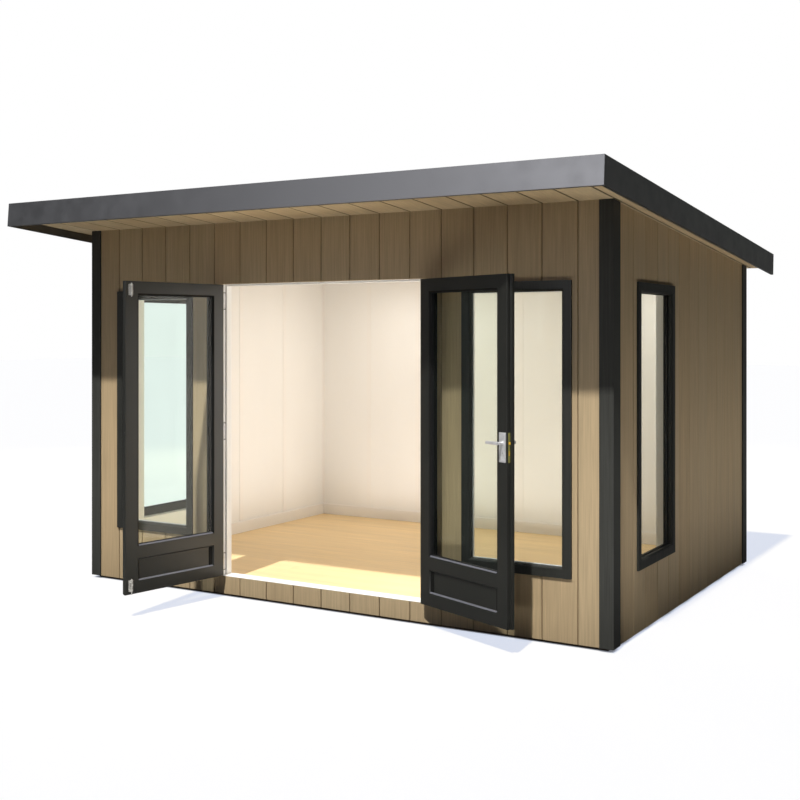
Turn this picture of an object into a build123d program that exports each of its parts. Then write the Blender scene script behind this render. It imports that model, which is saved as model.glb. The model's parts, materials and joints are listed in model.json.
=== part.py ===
"""Garden office pod: a pent-roofed insulated timber room with a pair of glazed doors.

Millimetres, +Z up. The origin is the centre of the footprint at ground level, on the
underside of the middle floor joist. -Y is the front, with the doors; +X is its right.
"""

import os

from build123d import *

# ---- body -----------------------------------------------------------------------------
body_width = 3980.0  # outside of the cladding, side to side
body_depth = 2910.0  # outside of the cladding, front to back
cladding_thickness = 25.0
panel_thickness = 90.0  # insulated wall panel with its white lining
cladding_lift = 18.0  # the cladding stops this far above the ground
snug = 0.5  # clearance of a piece set into an opening

# ---- floor ----------------------------------------------------------------------------
joist_width = 47.0
joist_height = 75.0
joist_spacing = 395.0  # middle to middle, outwards from the middle of the floor
joist_end_inset = 10.0
deck_thickness = 18.0
flooring_thickness = 10.0
skirting_thickness = 15.0
skirting_height = 95.0
skirting_gap = 1.0  # open joint between two runs of skirting

# ---- roof -----------------------------------------------------------------------------
roof_pitch = 4.5  # degrees, falling from the front to the back
front_wall_height = 2528.0  # ground to the soffit underside at the front cladding face
front_overhang = 627.0  # along the slope, to the outside of the fascia
rear_overhang = 130.0
side_overhang = 187.0
soffit_thickness = 12.0
roof_panel_thickness = 80.0
roof_covering_thickness = 3.0
fascia_thickness = 20.0
fascia_below_soffit = 55.0
kerb_height = 10.0  # fascia top above the roof covering

# ---- corner trims ---------------------------------------------------------------------
trim_thickness = 10.0
trim_front_leg = 86.0
trim_side_leg = 110.0

# ---- windows --------------------------------------------------------------------------
window_width = 702.0
window_height = 1699.0
window_sill_height = 384.0
front_window_inset = 242.0  # from the end of the front cladding
side_window_inset = 405.0  # from the front face of the cladding
window_face_width = 60.0
window_frame_depth = 65.0
window_proud = 12.0
window_glass_thickness = 24.0
window_glass_recess = 29.0  # frame face to glass
glass_edge_cover = 10.0

# ---- doorway --------------------------------------------------------------------------
doorway_width = 1600.0  # between the jamb faces
doorway_top = 2114.0
jamb_thickness = 32.0
stop_thickness = 12.0
threshold_top = 139.0
threshold_set_back = 15.0  # outwards from the room face of the wall
threshold_lip = 3.0

# ---- door leaves ----------------------------------------------------------------------
leaf_thickness = 44.0
leaf_gap = 5.0  # between a leaf and the frame, and between the two leaves
leaf_bottom_gap = 6.0
stile_width = 92.0
top_rail_height = 86.0
mid_rail_height = 95.0
bottom_rail_height = 87.0
bottom_panel_height = 123.0
bottom_panel_thickness = 20.0
door_glass_thickness = 20.0
meeting_rebate = 12.0
left_leaf_angle = 100.0  # standing open, degrees from closed
right_leaf_angle = 157.0

# ---- hinges ---------------------------------------------------------------------------
hinge_height = 108.0
hinge_reach = 40.0  # plate, inwards from the outer face of the leaf
hinge_plate_thickness = 2.0
knuckle_radius = 6.0
knuckle_stand_off = 7.0  # pivot, outwards from the outer face of the leaf
knuckle_side_offset = 4.0  # pivot, sideways beyond the face of the jamb
knuckle_gap = 0.5
pin_radius = 3.0
pin_clearance = 0.15
upper_hinge_drop = 108.0  # leaf top to the middle of the top hinge
lower_hinge_rise = 82.0  # leaf bottom to the middle of the bottom hinge

# ---- lock and handles -----------------------------------------------------------------
backset = 37.5  # leaf edge to the spindle
spindle_height = 1173.0
spindle_radius = 4.0
spindle_clearance = 0.2
spindle_hole_radius = 8.0
backplate_width = 54.0
backplate_height = 166.0
backplate_thickness = 5.0
backplate_corner = 4.0
backplate_above_spindle = 58.0
lever_neck_radius = 8.0
lever_stand_off = 38.0  # backplate face to the middle of the lever
lever_length = 100.0
lever_depth = 12.0
lever_height = 20.0
lever_corner = 4.0
neck_gap = 0.3
faceplate_height = 166.0
faceplate_width = 15.0
faceplate_thickness = 1.5
faceplate_fit = 0.2
latch_throw = 8.0
latch_width = 6.0
latch_height = 14.0
latch_clearance = 5.5
latch_set_back = 1.5  # latch, inwards from the rebate of the meeting edge

# ---- barrel bolts ---------------------------------------------------------------------
bolt_edge_distance = 40.0  # leaf edge to the rod
bolt_plate_width = 33.0
bolt_plate_height = 72.0
bolt_plate_thickness = 3.0
bolt_end_distance = 19.0  # end of the leaf to the plate
bolt_guide_radius = 7.0
bolt_guide_length = 16.0
bolt_rod_radius = 4.0
bolt_rod_clearance = 0.3
bolt_rest_gap = 6.0  # rod end to the door frame when drawn back
bolt_tail = 8.0  # rod beyond the far guide when drawn back
bolt_knob_radius = 4.0
bolt_knob_length = 10.0
bolt_knob_clear = 8.0  # knob to the far guide when drawn back
keep_hole_radius = 6.0
keep_hole_depth = 14.0

# ---- places worked out from the sizes above -------------------------------------------
half_width = body_width / 2
half_depth = body_depth / 2
front_face = -half_depth
panel_half_width = half_width - cladding_thickness
panel_half_depth = half_depth - cladding_thickness
room_half_width = panel_half_width - panel_thickness
room_half_depth = panel_half_depth - panel_thickness
deck_top = joist_height + deck_thickness
floor_top = deck_top + flooring_thickness
roof_half_width = half_width + side_overhang
roof_rear = body_depth + rear_overhang
covering_top = soffit_thickness + roof_panel_thickness + roof_covering_thickness
tall = 2 * front_wall_height

half_doorway = doorway_width / 2
threshold_back = -room_half_depth - threshold_set_back
leaf_top = doorway_top - leaf_gap
leaf_bottom = threshold_top + leaf_bottom_gap
hinge_edge = -half_doorway + leaf_gap
leaf_inner_face = front_face + leaf_thickness
pivot_x = half_doorway + knuckle_side_offset
pivot_y = front_face - knuckle_stand_off
meeting_short = leaf_gap / 2 + meeting_rebate / 2
meeting_long = leaf_gap / 2 - meeting_rebate / 2
tongue_thickness = (leaf_thickness - leaf_gap) / 2
lock_edge = -meeting_short
spindle_x = lock_edge - backset
bolt_x = -meeting_long - bolt_edge_distance
bolt_y = leaf_inner_face + bolt_plate_thickness + bolt_guide_radius

latch_front = leaf_inner_face - tongue_thickness + latch_set_back
latch_back = latch_front + latch_width

window_top = window_sill_height + window_height
front_window_outer = half_width - front_window_inset
side_window_front = front_face + side_window_inset

nodes = {}


def block(x0, x1, y0, y1, z0, z1):
    """A box between two corners."""
    corner = (Align.MIN, Align.MIN, Align.MIN)
    return Pos(x0, y0, z0) * Box(x1 - x0, y1 - y0, z1 - z0, align=corner)


def rod(x, y, z0, z1, radius):
    """An upright cylinder."""
    base = (Align.CENTER, Align.CENTER, Align.MIN)
    return Pos(x, y, z0) * Cylinder(radius, z1 - z0, align=base)


def along_y(x, z, y0, y1, radius):
    """A level cylinder running from front to back."""
    base = (Align.CENTER, Align.CENTER, Align.MIN)
    return Pos(x, y0, z) * Rot(X=-90) * Cylinder(radius, y1 - y0, align=base)


def roof_block(x0, x1, v0, v1, n0, n1):
    """A box in the plane of the roof: v runs down the slope, n stands square to it."""
    frame = Pos(0, front_face, front_wall_height) * Rot(X=-roof_pitch)
    return frame * block(x0, x1, v0, v1, n0, n1)


def above_roof_layer(height):
    """Everything over one layer of the roof, for cutting what rises to meet it."""
    return roof_block(-tall, tall, -tall, tall, height, tall)


def mirrored(shape):
    """The same shape on the other side of the middle of the front."""
    return mirror(shape, about=Plane.YZ)


def swing(shape, hinge_x, angle):
    """Turns a closed door leaf's piece about its hinge pins."""
    turn = Pos(hinge_x, pivot_y, 0) * Rot(0, 0, angle) * Pos(-hinge_x, -pivot_y, 0)
    return turn * shape


def keep(name, *shapes):
    """Files one or more solids under the name of a sub-part."""
    solids = [solid for shape in shapes for solid in shape.solids()]
    nodes[name] = solids[0] if len(solids) == 1 else Compound(children=solids)


# ---- floor ----------------------------------------------------------------------------
def make_floor():
    """Joists across the pod, the deck on them and the oak flooring of the room."""
    end = panel_half_width - joist_end_inset
    rim = panel_half_depth - joist_width / 2
    pairs = int((rim - joist_width) // joist_spacing)
    centres = [-rim, rim]
    centres += [step * joist_spacing for step in range(-pairs, pairs + 1)]
    joists = []
    for y in centres:
        joists.append(block(-end, end, y - joist_width / 2, y + joist_width / 2, 0, joist_height))
    keep("floor_joists", *joists)
    keep("floor_deck", block(
        -panel_half_width, panel_half_width, -panel_half_depth, panel_half_depth,
        joist_height, deck_top,
    ))
    room_floor = block(
        -room_half_width, room_half_width, -room_half_depth, room_half_depth,
        deck_top, floor_top,
    )
    doorway_floor = block(
        -half_doorway, half_doorway, threshold_back, -room_half_depth, deck_top, floor_top,
    )
    keep("oak_flooring", room_floor + doorway_floor)


def make_skirting():
    """Skirting along every inside wall, stopping at the doorway."""
    top = floor_top + skirting_height
    inner_x = room_half_width - skirting_thickness
    inner_y = room_half_depth - skirting_thickness
    run = inner_y - skirting_gap
    door_side = half_doorway + jamb_thickness
    keep(
        "skirting_boards",
        block(-room_half_width, -inner_x, -run, run, floor_top, top),
        block(inner_x, room_half_width, -run, run, floor_top, top),
        block(-room_half_width, room_half_width, inner_y, room_half_depth, floor_top, top),
        block(-room_half_width, -door_side, -room_half_depth, -inner_y, floor_top, top),
        block(door_side, room_half_width, -room_half_depth, -inner_y, floor_top, top),
    )


# ---- walls ----------------------------------------------------------------------------
def front_window_hole(side, margin):
    """The opening of one front window; side is -1 at the left and 1 at the right."""
    outer = side * (front_window_outer + margin)
    inner = side * (front_window_outer - window_width - margin)
    left, right = sorted((outer, inner))
    return block(
        left, right, front_face - body_depth, 0,
        window_sill_height - margin, window_top + margin,
    )


def side_window_hole(side, margin):
    """The opening of one side window, cut right out through the wall."""
    left, right = sorted((side * room_half_width / 2, side * body_width))
    return block(
        left, right, side_window_front - margin, side_window_front + window_width + margin,
        window_sill_height - margin, window_top + margin,
    )


def make_panels():
    """Insulated panels standing on the deck and carrying the roof."""
    roof_cut = above_roof_layer(soffit_thickness)
    outer, inner = -panel_half_depth, -room_half_depth
    door_side = half_doorway + jamb_thickness
    head = doorway_top + jamb_thickness
    beside = block(door_side, panel_half_width, outer, inner, deck_top, tall) - roof_cut
    right_wall_of_front = beside - front_window_hole(1, snug)
    keep("front_wall_right", right_wall_of_front)
    keep("front_wall_left", mirrored(right_wall_of_front))
    keep("front_wall_head", block(-door_side, door_side, outer, inner, head, tall) - roof_cut)
    side = block(
        room_half_width, panel_half_width, -room_half_depth, room_half_depth, deck_top, tall,
    )
    right = side - roof_cut - side_window_hole(1, snug)
    keep("right_wall", right)
    keep("left_wall", mirrored(right))
    keep("back_wall", block(
        -panel_half_width, panel_half_width, room_half_depth, panel_half_depth, deck_top, tall,
    ) - roof_cut)


def make_cladding():
    """The boarded skin, which hangs past the deck to just above the ground."""
    soffit_cut = above_roof_layer(0)
    outer, inner = front_face, -panel_half_depth
    beside = block(half_doorway, half_width, outer, inner, cladding_lift, tall) - soffit_cut
    right_of_door = beside - front_window_hole(1, snug)
    keep("front_cladding_right", right_of_door)
    keep("front_cladding_left", mirrored(right_of_door))
    over = block(-half_doorway, half_doorway, outer, inner, doorway_top, tall) - soffit_cut
    under_top = threshold_top - threshold_lip
    under = block(-half_doorway, half_doorway, outer, inner, cladding_lift, under_top)
    keep("door_cladding", over, under)
    side = block(
        panel_half_width, half_width, -panel_half_depth, panel_half_depth, cladding_lift, tall,
    )
    right = side - soffit_cut - side_window_hole(1, snug)
    keep("right_cladding", right)
    keep("left_cladding", mirrored(right))
    keep("back_cladding", block(
        -half_width, half_width, panel_half_depth, half_depth, cladding_lift, tall,
    ) - soffit_cut)


def make_corner_trims():
    """An angle over each corner of the cladding, up to the soffit."""
    soffit_cut = above_roof_layer(0)
    edge_x = half_width + trim_thickness
    edge_y = half_depth + trim_thickness
    trims = []
    for end in (-1, 1):
        face_y = sorted((end * half_depth, end * edge_y))
        leg_y = sorted((end * (edge_y - trim_side_leg), end * edge_y))
        face = block(edge_x - trim_front_leg, edge_x, *face_y, cladding_lift, tall)
        leg = block(half_width, edge_x, *leg_y, cladding_lift, tall)
        angle = face + leg - soffit_cut
        trims += [angle, mirrored(angle)]
    keep("corner_trims", *trims)


# ---- windows --------------------------------------------------------------------------
def window_at_origin():
    """A window facing -Y, its outer face at y = 0 and its lower left corner at x = z = 0.

    Returns the frame and its sealed glass unit.
    """
    face = window_face_width
    outer = block(0, window_width, 0, window_frame_depth, 0, window_height)
    sight = block(
        face, window_width - face, -window_frame_depth, 2 * window_frame_depth,
        face, window_height - face,
    )
    cover = glass_edge_cover
    glass_back = window_glass_recess + window_glass_thickness
    glass = block(
        face - cover, window_width - face + cover, window_glass_recess, glass_back,
        face - cover, window_height - face + cover,
    )
    groove = block(
        face - cover - snug, window_width - face + cover + snug,
        window_glass_recess - snug, glass_back + snug,
        face - cover - snug, window_height - face + cover + snug,
    )
    return outer - sight - groove, glass


def make_windows():
    """Four fixed windows of one size, standing proud of the cladding."""
    frame, glass = window_at_origin()
    front = Pos(
        front_window_outer - window_width, front_face - window_proud, window_sill_height,
    )
    side = Pos(
        half_width + window_proud, side_window_front, window_sill_height,
    ) * Rot(0, 0, 90)
    keep("front_window_frames", front * frame, mirrored(front * frame))
    keep("side_window_frames", side * frame, mirrored(side * frame))
    panes = (front * glass, side * glass)
    keep("window_glass", *panes, *[mirrored(pane) for pane in panes])


# ---- roof -----------------------------------------------------------------------------
def make_roof():
    """Soffit boards and ceiling, roof panel, covering and the fascias round them."""
    inside = roof_half_width - fascia_thickness
    front_end = -front_overhang + fascia_thickness
    rear_end = roof_rear - fascia_thickness
    layer = roof_block(-inside, inside, front_end, rear_end, 0, soffit_thickness)
    front_zone = block(-tall, tall, -tall, -panel_half_depth, 0, tall)
    rear_zone = block(-tall, tall, panel_half_depth, tall, 0, tall)
    right_zone = block(panel_half_width, tall, -panel_half_depth, panel_half_depth, 0, tall)
    room = block(
        -room_half_width, room_half_width, -room_half_depth, room_half_depth, 0, tall,
    )
    right_soffit = layer & right_zone
    keep("front_soffit", layer & front_zone)
    keep("rear_soffit", layer & rear_zone)
    keep("side_soffits", right_soffit, mirrored(right_soffit))
    keep("ceiling", layer & room)
    panel_top = soffit_thickness + roof_panel_thickness
    keep("roof_panel", roof_block(
        -inside, inside, front_end, rear_end, soffit_thickness, panel_top,
    ))
    keep("roof_covering", roof_block(
        -inside, inside, front_end, rear_end, panel_top, covering_top,
    ))
    kerb_top = covering_top + kerb_height
    low = -fascia_below_soffit
    keep("front_fascia", roof_block(
        -roof_half_width, roof_half_width, -front_overhang, front_end, low, kerb_top,
    ))
    right = roof_block(inside, roof_half_width, front_end, roof_rear, low, kerb_top)
    keep("side_fascias", right, mirrored(right))
    keep("rear_fascia", roof_block(-inside, inside, rear_end, roof_rear, 0, covering_top))


# ---- doorway --------------------------------------------------------------------------
def make_door_frame():
    """White jambs and head with a door stop, and the threshold on the deck."""
    outer, inner = -panel_half_depth, -room_half_depth
    stop_front = leaf_inner_face + leaf_gap
    head_top = doorway_top + jamb_thickness
    stop_edge = half_doorway - stop_thickness
    jamb = block(half_doorway, half_doorway + jamb_thickness, outer, inner, deck_top, head_top)
    stop = block(
        stop_edge, half_doorway, stop_front, threshold_back, threshold_top, doorway_top,
    )
    right = jamb + stop
    keep("door_jambs", right, mirrored(right))
    stop_bottom = doorway_top - stop_thickness
    head = block(-half_doorway, half_doorway, outer, inner, doorway_top, head_top)
    head += block(
        -stop_edge, stop_edge, stop_front, threshold_back, stop_bottom, doorway_top,
    )
    head -= rod(bolt_x, bolt_y, stop_bottom, stop_bottom + keep_hole_depth, keep_hole_radius)
    keep("door_frame_head", head)
    sill = block(
        -half_doorway, half_doorway, outer, threshold_back, deck_top, threshold_top,
    )
    lip_bottom = threshold_top - threshold_lip
    sill += block(-half_doorway, half_doorway, front_face, outer, lip_bottom, threshold_top)
    sill -= rod(bolt_x, bolt_y, threshold_top - keep_hole_depth, threshold_top, keep_hole_radius)
    keep("threshold", sill)


# ---- door leaves, made closed at the left-hand side -----------------------------------
def leaf_body(outer_end, inner_end):
    """Stiles, rails and bottom panel; the two ends make the rebate where leaves meet."""
    body = block(
        hinge_edge, outer_end, front_face, front_face + tongue_thickness, leaf_bottom, leaf_top,
    )
    step = max(outer_end, inner_end) - meeting_rebate
    body += block(hinge_edge, step, front_face, leaf_inner_face, leaf_bottom, leaf_top)
    body += block(
        hinge_edge, inner_end, leaf_inner_face - tongue_thickness, leaf_inner_face,
        leaf_bottom, leaf_top,
    )
    left = hinge_edge + stile_width
    right = step - stile_width
    panel_bottom = leaf_bottom + bottom_rail_height
    panel_top = panel_bottom + bottom_panel_height
    glass_bottom = panel_top + mid_rail_height
    glass_top = leaf_top - top_rail_height
    panel_recess = (leaf_thickness - bottom_panel_thickness) / 2
    body -= block(
        left, right, front_face, front_face + panel_recess, panel_bottom, panel_top,
    )
    body -= block(
        left, right, leaf_inner_face - panel_recess, leaf_inner_face, panel_bottom, panel_top,
    )
    body -= block(left, right, front_face, leaf_inner_face, glass_bottom, glass_top)
    cover = glass_edge_cover
    glass_front = front_face + (leaf_thickness - door_glass_thickness) / 2
    glass_back = glass_front + door_glass_thickness
    glass = block(
        left - cover, right + cover, glass_front, glass_back,
        glass_bottom - cover, glass_top + cover,
    )
    body -= block(
        left - cover - snug, right + cover + snug, glass_front - snug, glass_back + snug,
        glass_bottom - cover - snug, glass_top + cover + snug,
    )
    return body, glass


def hinge_levels():
    """Heights of the middles of the three hinges."""
    upper = leaf_top - upper_hinge_drop
    lower = leaf_bottom + lower_hinge_rise
    return (lower, (lower + upper) / 2, upper)


def hinge_pair(level):
    """One butt hinge at the left jamb: the jamb's half with the pin, and the leaf's half."""
    bottom = level - hinge_height / 2
    top = level + hinge_height / 2
    third = hinge_height / 3
    low_knuckle_top = bottom + third
    high_knuckle_bottom = top - third
    jamb = -half_doorway
    plate_start = pivot_y + knuckle_radius + knuckle_gap
    plate_end = front_face + hinge_reach
    plate = hinge_plate_thickness
    jamb_half = block(jamb, jamb + plate, plate_start, plate_end, bottom, top)
    for z0, z1 in ((bottom, low_knuckle_top), (high_knuckle_bottom, top)):
        jamb_half += rod(-pivot_x, pivot_y, z0, z1, knuckle_radius)
        jamb_half += block(jamb, jamb + plate, pivot_y, plate_start, z0, z1)
    jamb_half += rod(-pivot_x, pivot_y, bottom, top, pin_radius)
    z0 = low_knuckle_top + knuckle_gap
    z1 = high_knuckle_bottom - knuckle_gap
    leaf_half = block(hinge_edge - plate, hinge_edge, plate_start, plate_end, bottom, top)
    leaf_half += block(hinge_edge - plate, hinge_edge, pivot_y, plate_start, z0, z1)
    leaf_half += block(-pivot_x, hinge_edge, pivot_y, pivot_y + plate, z0, z1)
    leaf_half += rod(-pivot_x, pivot_y, z0, z1, knuckle_radius)
    leaf_half -= rod(-pivot_x, pivot_y, bottom, top, pin_radius + pin_clearance)
    return jamb_half, leaf_half


def make_hinges():
    """Three butt hinges a side, each half with the body it is screwed to."""
    pairs = [hinge_pair(level) for level in hinge_levels()]
    jamb_halves = [pair[0] for pair in pairs]
    leaf_halves = [pair[1] for pair in pairs]
    keep("door_frame_hinges", *jamb_halves, *[mirrored(half) for half in jamb_halves])
    keep("left_door_hinges", *[swing_left(half) for half in leaf_halves])
    keep("right_door_hinges", *[swing_right(half) for half in leaf_halves])


def swing_left(shape):
    """Opens a piece of the left leaf to where it stands."""
    return swing(shape, -pivot_x, -left_leaf_angle)


def swing_right(shape):
    """Mirrors a piece to the right leaf and opens it to where it stands."""
    return swing(mirrored(shape), pivot_x, right_leaf_angle)


def make_left_leaf():
    """The leaf that is bolted shut, with the latch pocket in its meeting edge."""
    body, glass = leaf_body(-meeting_short, -meeting_long)
    reach = latch_height / 2 + latch_clearance
    body -= block(
        meeting_short - latch_throw - latch_clearance, -meeting_long,
        leaf_inner_face - tongue_thickness - leaf_gap, latch_back + latch_clearance,
        spindle_height - reach, spindle_height + reach,
    )
    keep("left_door_leaf", swing_left(body))
    keep("left_door_glass", swing_left(glass))


def bolt(plate_end, rod_end, way):
    """A barrel bolt on the left leaf; way is 1 where it shoots up and -1 where down.

    Returns the plate with its two guides, and the rod with its knob drawn back.
    """
    far_end = plate_end - way * bolt_plate_height
    half = bolt_plate_width / 2
    plate = block(
        bolt_x - half, bolt_x + half, leaf_inner_face, leaf_inner_face + bolt_plate_thickness,
        *sorted((plate_end, far_end)),
    )
    near_guide = plate_end - way * bolt_guide_length
    far_guide = far_end + way * bolt_guide_length
    for z0, z1 in (sorted((plate_end, near_guide)), sorted((far_end, far_guide))):
        plate += rod(bolt_x, bolt_y, z0, z1, bolt_guide_radius)
        plate += block(
            bolt_x - bolt_guide_radius, bolt_x + bolt_guide_radius,
            leaf_inner_face, bolt_y, z0, z1,
        )
    bore = bolt_rod_radius + bolt_rod_clearance
    plate -= rod(bolt_x, bolt_y, *sorted((plate_end, far_end)), bore)
    tail = far_end - way * bolt_tail
    shank = rod(bolt_x, bolt_y, *sorted((rod_end, tail)), bolt_rod_radius)
    knob_height = far_guide + way * (bolt_knob_radius + bolt_knob_clear)
    knob_end = bolt_y + bolt_rod_radius + bolt_knob_length
    knob = along_y(bolt_x, knob_height, bolt_y, knob_end, bolt_knob_radius)
    return plate, shank + knob


def make_bolts():
    """The two barrel bolts on the inside of the left leaf, both drawn back."""
    upper_end = doorway_top - stop_thickness - bolt_rest_gap
    lower_end = threshold_top + bolt_rest_gap
    upper_plate, upper_rod = bolt(leaf_top - bolt_end_distance, upper_end, 1)
    lower_plate, lower_rod = bolt(leaf_bottom + bolt_end_distance, lower_end, -1)
    keep("left_door_bolt_plates", swing_left(upper_plate), swing_left(lower_plate))
    keep("top_bolt_rod", swing_left(upper_rod))
    keep("bottom_bolt_rod", swing_left(lower_rod))


def make_right_leaf():
    """The leaf in daily use, bored for its spindle and recessed for the lock faceplate."""
    body, glass = leaf_body(-meeting_long, -meeting_short)
    body -= along_y(
        spindle_x, spindle_height, front_face, leaf_inner_face, spindle_hole_radius,
    )
    body -= faceplate(faceplate_fit)
    keep("right_door_leaf", swing_right(body))
    keep("right_door_glass", swing_right(glass))
    latch = block(
        lock_edge - faceplate_thickness, lock_edge + latch_throw, latch_front, latch_back,
        spindle_height - latch_height / 2, spindle_height + latch_height / 2,
    )
    keep("lock_faceplate", swing_right(faceplate(0) + latch))


def faceplate(margin):
    """The lock's brass faceplate, let in flush with the meeting edge."""
    middle = latch_front + latch_width / 2
    reach = faceplate_width / 2 + margin
    top = spindle_height + backplate_above_spindle + margin
    return block(
        lock_edge - faceplate_thickness - margin, lock_edge, middle - reach, middle + reach,
        top - faceplate_height - 2 * margin, top,
    )


def make_handles():
    """A backplate on each face of the right leaf, and the levers on their one spindle."""
    top = spindle_height + backplate_above_spindle
    half = backplate_width / 2
    plates = []
    for y0, y1 in (
        (front_face - backplate_thickness, front_face),
        (leaf_inner_face, leaf_inner_face + backplate_thickness),
    ):
        plate = block(spindle_x - half, spindle_x + half, y0, y1, top - backplate_height, top)
        plate = fillet(plate.edges().filter_by(Axis.Y), backplate_corner)
        hole = spindle_radius + spindle_clearance
        plate -= along_y(spindle_x, spindle_height, y0, y1, hole)
        plates.append(swing_right(plate))
    keep("right_door_backplates", *plates)
    outer_plate = front_face - backplate_thickness
    inner_plate = leaf_inner_face + backplate_thickness
    outer_arm = outer_plate - lever_stand_off
    inner_arm = inner_plate + lever_stand_off
    levers = along_y(spindle_x, spindle_height, outer_arm, inner_arm, spindle_radius)
    for neck_start, arm_middle in (
        (outer_plate - neck_gap, outer_arm), (inner_plate + neck_gap, inner_arm),
    ):
        y0, y1 = sorted((neck_start, arm_middle))
        levers += along_y(spindle_x, spindle_height, y0, y1, lever_neck_radius)
        arm = block(
            spindle_x - lever_length, spindle_x + lever_neck_radius,
            arm_middle - lever_depth / 2, arm_middle + lever_depth / 2,
            spindle_height - lever_height / 2, spindle_height + lever_height / 2,
        )
        levers += fillet(arm.edges().filter_by(Axis.X), lever_corner)
    keep("lever_handles", swing_right(levers))


def main():
    """Builds every sub-part and writes one STEP file for each."""
    make_floor()
    make_skirting()
    make_panels()
    make_cladding()
    make_corner_trims()
    make_windows()
    make_roof()
    make_door_frame()
    make_hinges()
    make_left_leaf()
    make_bolts()
    make_right_leaf()
    make_handles()
    os.makedirs("parts", exist_ok=True)
    for name, shape in nodes.items():
        export_step(shape, "parts/" + name + ".step")


main()
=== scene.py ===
"""Garden office pod: the looks of a pent-roofed timber room with a pair of glazed doors.

Metres, +Z up. -Y is the front, with the doors; +X is its right-hand side. Every place is
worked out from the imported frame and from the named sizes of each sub-assembly.
"""

import json
import logging
import math
from collections.abc import Callable, Iterator, Sequence
from contextlib import contextmanager
from dataclasses import dataclass, field
from enum import Enum

import bmesh
import bpy
from mathutils import Matrix, Vector


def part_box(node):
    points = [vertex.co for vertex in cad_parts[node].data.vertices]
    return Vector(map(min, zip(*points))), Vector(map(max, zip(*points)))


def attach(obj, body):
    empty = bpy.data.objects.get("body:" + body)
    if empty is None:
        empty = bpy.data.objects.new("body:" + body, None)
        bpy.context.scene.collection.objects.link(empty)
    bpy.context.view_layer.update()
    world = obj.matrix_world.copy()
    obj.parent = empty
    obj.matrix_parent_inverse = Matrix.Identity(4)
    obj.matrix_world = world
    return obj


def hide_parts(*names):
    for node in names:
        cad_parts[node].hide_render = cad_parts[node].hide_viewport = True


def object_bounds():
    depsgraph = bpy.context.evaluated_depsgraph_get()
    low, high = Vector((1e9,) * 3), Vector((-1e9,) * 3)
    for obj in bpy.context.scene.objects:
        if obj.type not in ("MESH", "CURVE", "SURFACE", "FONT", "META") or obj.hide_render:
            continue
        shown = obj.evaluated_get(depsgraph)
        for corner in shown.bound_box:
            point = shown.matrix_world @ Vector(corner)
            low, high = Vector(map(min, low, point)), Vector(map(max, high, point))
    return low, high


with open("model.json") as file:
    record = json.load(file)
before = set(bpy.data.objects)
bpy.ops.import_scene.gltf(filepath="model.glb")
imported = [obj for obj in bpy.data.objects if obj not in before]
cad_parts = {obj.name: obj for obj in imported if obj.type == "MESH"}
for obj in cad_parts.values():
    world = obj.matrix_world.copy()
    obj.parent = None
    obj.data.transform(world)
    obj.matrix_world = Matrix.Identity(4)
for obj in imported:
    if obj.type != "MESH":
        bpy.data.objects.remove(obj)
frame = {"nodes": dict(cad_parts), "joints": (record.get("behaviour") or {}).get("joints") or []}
cad_low, cad_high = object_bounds()

log = logging.getLogger("garden_office_pod")

Point = Sequence[float]
Pair = tuple[float, float]
Triple = tuple[float, float, float]
Colour = tuple[float, float, float]
Piece = bpy.types.Object
Material = bpy.types.Material
Node = bpy.types.Node
Socket = bpy.types.NodeSocket
Test = Callable[[Vector, Vector], bool]

X, Y, Z = range(3)
TINY = 1e-4  # a length that doesn't show
BEYOND = 1.0  # how far a cutter reaches past what it cuts
FAR = 10.0  # a length past the whole pod
SAME_WAY = 0.99  # cosine over which two directions count as one
CRISP_TURN = 20.0  # degrees; shading stays sharp over edges that turn more
ROUNDED_TURN = 40.0  # the same for edges rounded with many facets
FEW_FACETS = 2  # up to this many facets an edge counts as crisp
CORNER_FACETS = 4  # facets round a plate's corner
SMALL_ROD = 16  # sides of a small round
UPRIGHT_GRAIN: Triple = (115.0, 115.0, 3.2)  # repeats in a metre: fine across, long upwards


# ---- what the frame says ----
@dataclass(frozen=True)
class Box:
    """A box between its lowest and its highest corner."""

    low: Vector
    high: Vector

    @classmethod
    def holding(cls, points: Sequence[Point]) -> "Box":
        """Finds the smallest box that holds some points.

        Args:
            points: the points.

        Returns:
            The box.
        """
        low = Vector([min(point[axis] for point in points) for axis in (X, Y, Z)])
        high = Vector([max(point[axis] for point in points) for axis in (X, Y, Z)])
        return cls(low, high)

    @classmethod
    def around(cls, *nodes: str) -> "Box":
        """Finds the box round one or more frame nodes at rest."""
        return cls.holding([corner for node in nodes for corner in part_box(node)])

    @property
    def size(self) -> Vector:
        """The box's three sides."""
        return self.high - self.low

    def frames(self, point: Vector, slack: float = 0.0) -> bool:
        """Says whether a point lies in the box's upright outline, at any depth."""
        across = self.low.x - slack < point.x < self.high.x + slack
        return across and self.low.z - slack < point.z < self.high.z + slack

    def slab(self, front: float, back: float, inwards: float = 0.0) -> tuple[Vector, Vector]:
        """Two corners of a slab between two depths, as tall and wide as the box or less."""
        low = Vector((self.low.x + inwards, front, self.low.z + inwards))
        return low, Vector((self.high.x - inwards, back, self.high.z - inwards))


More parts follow.
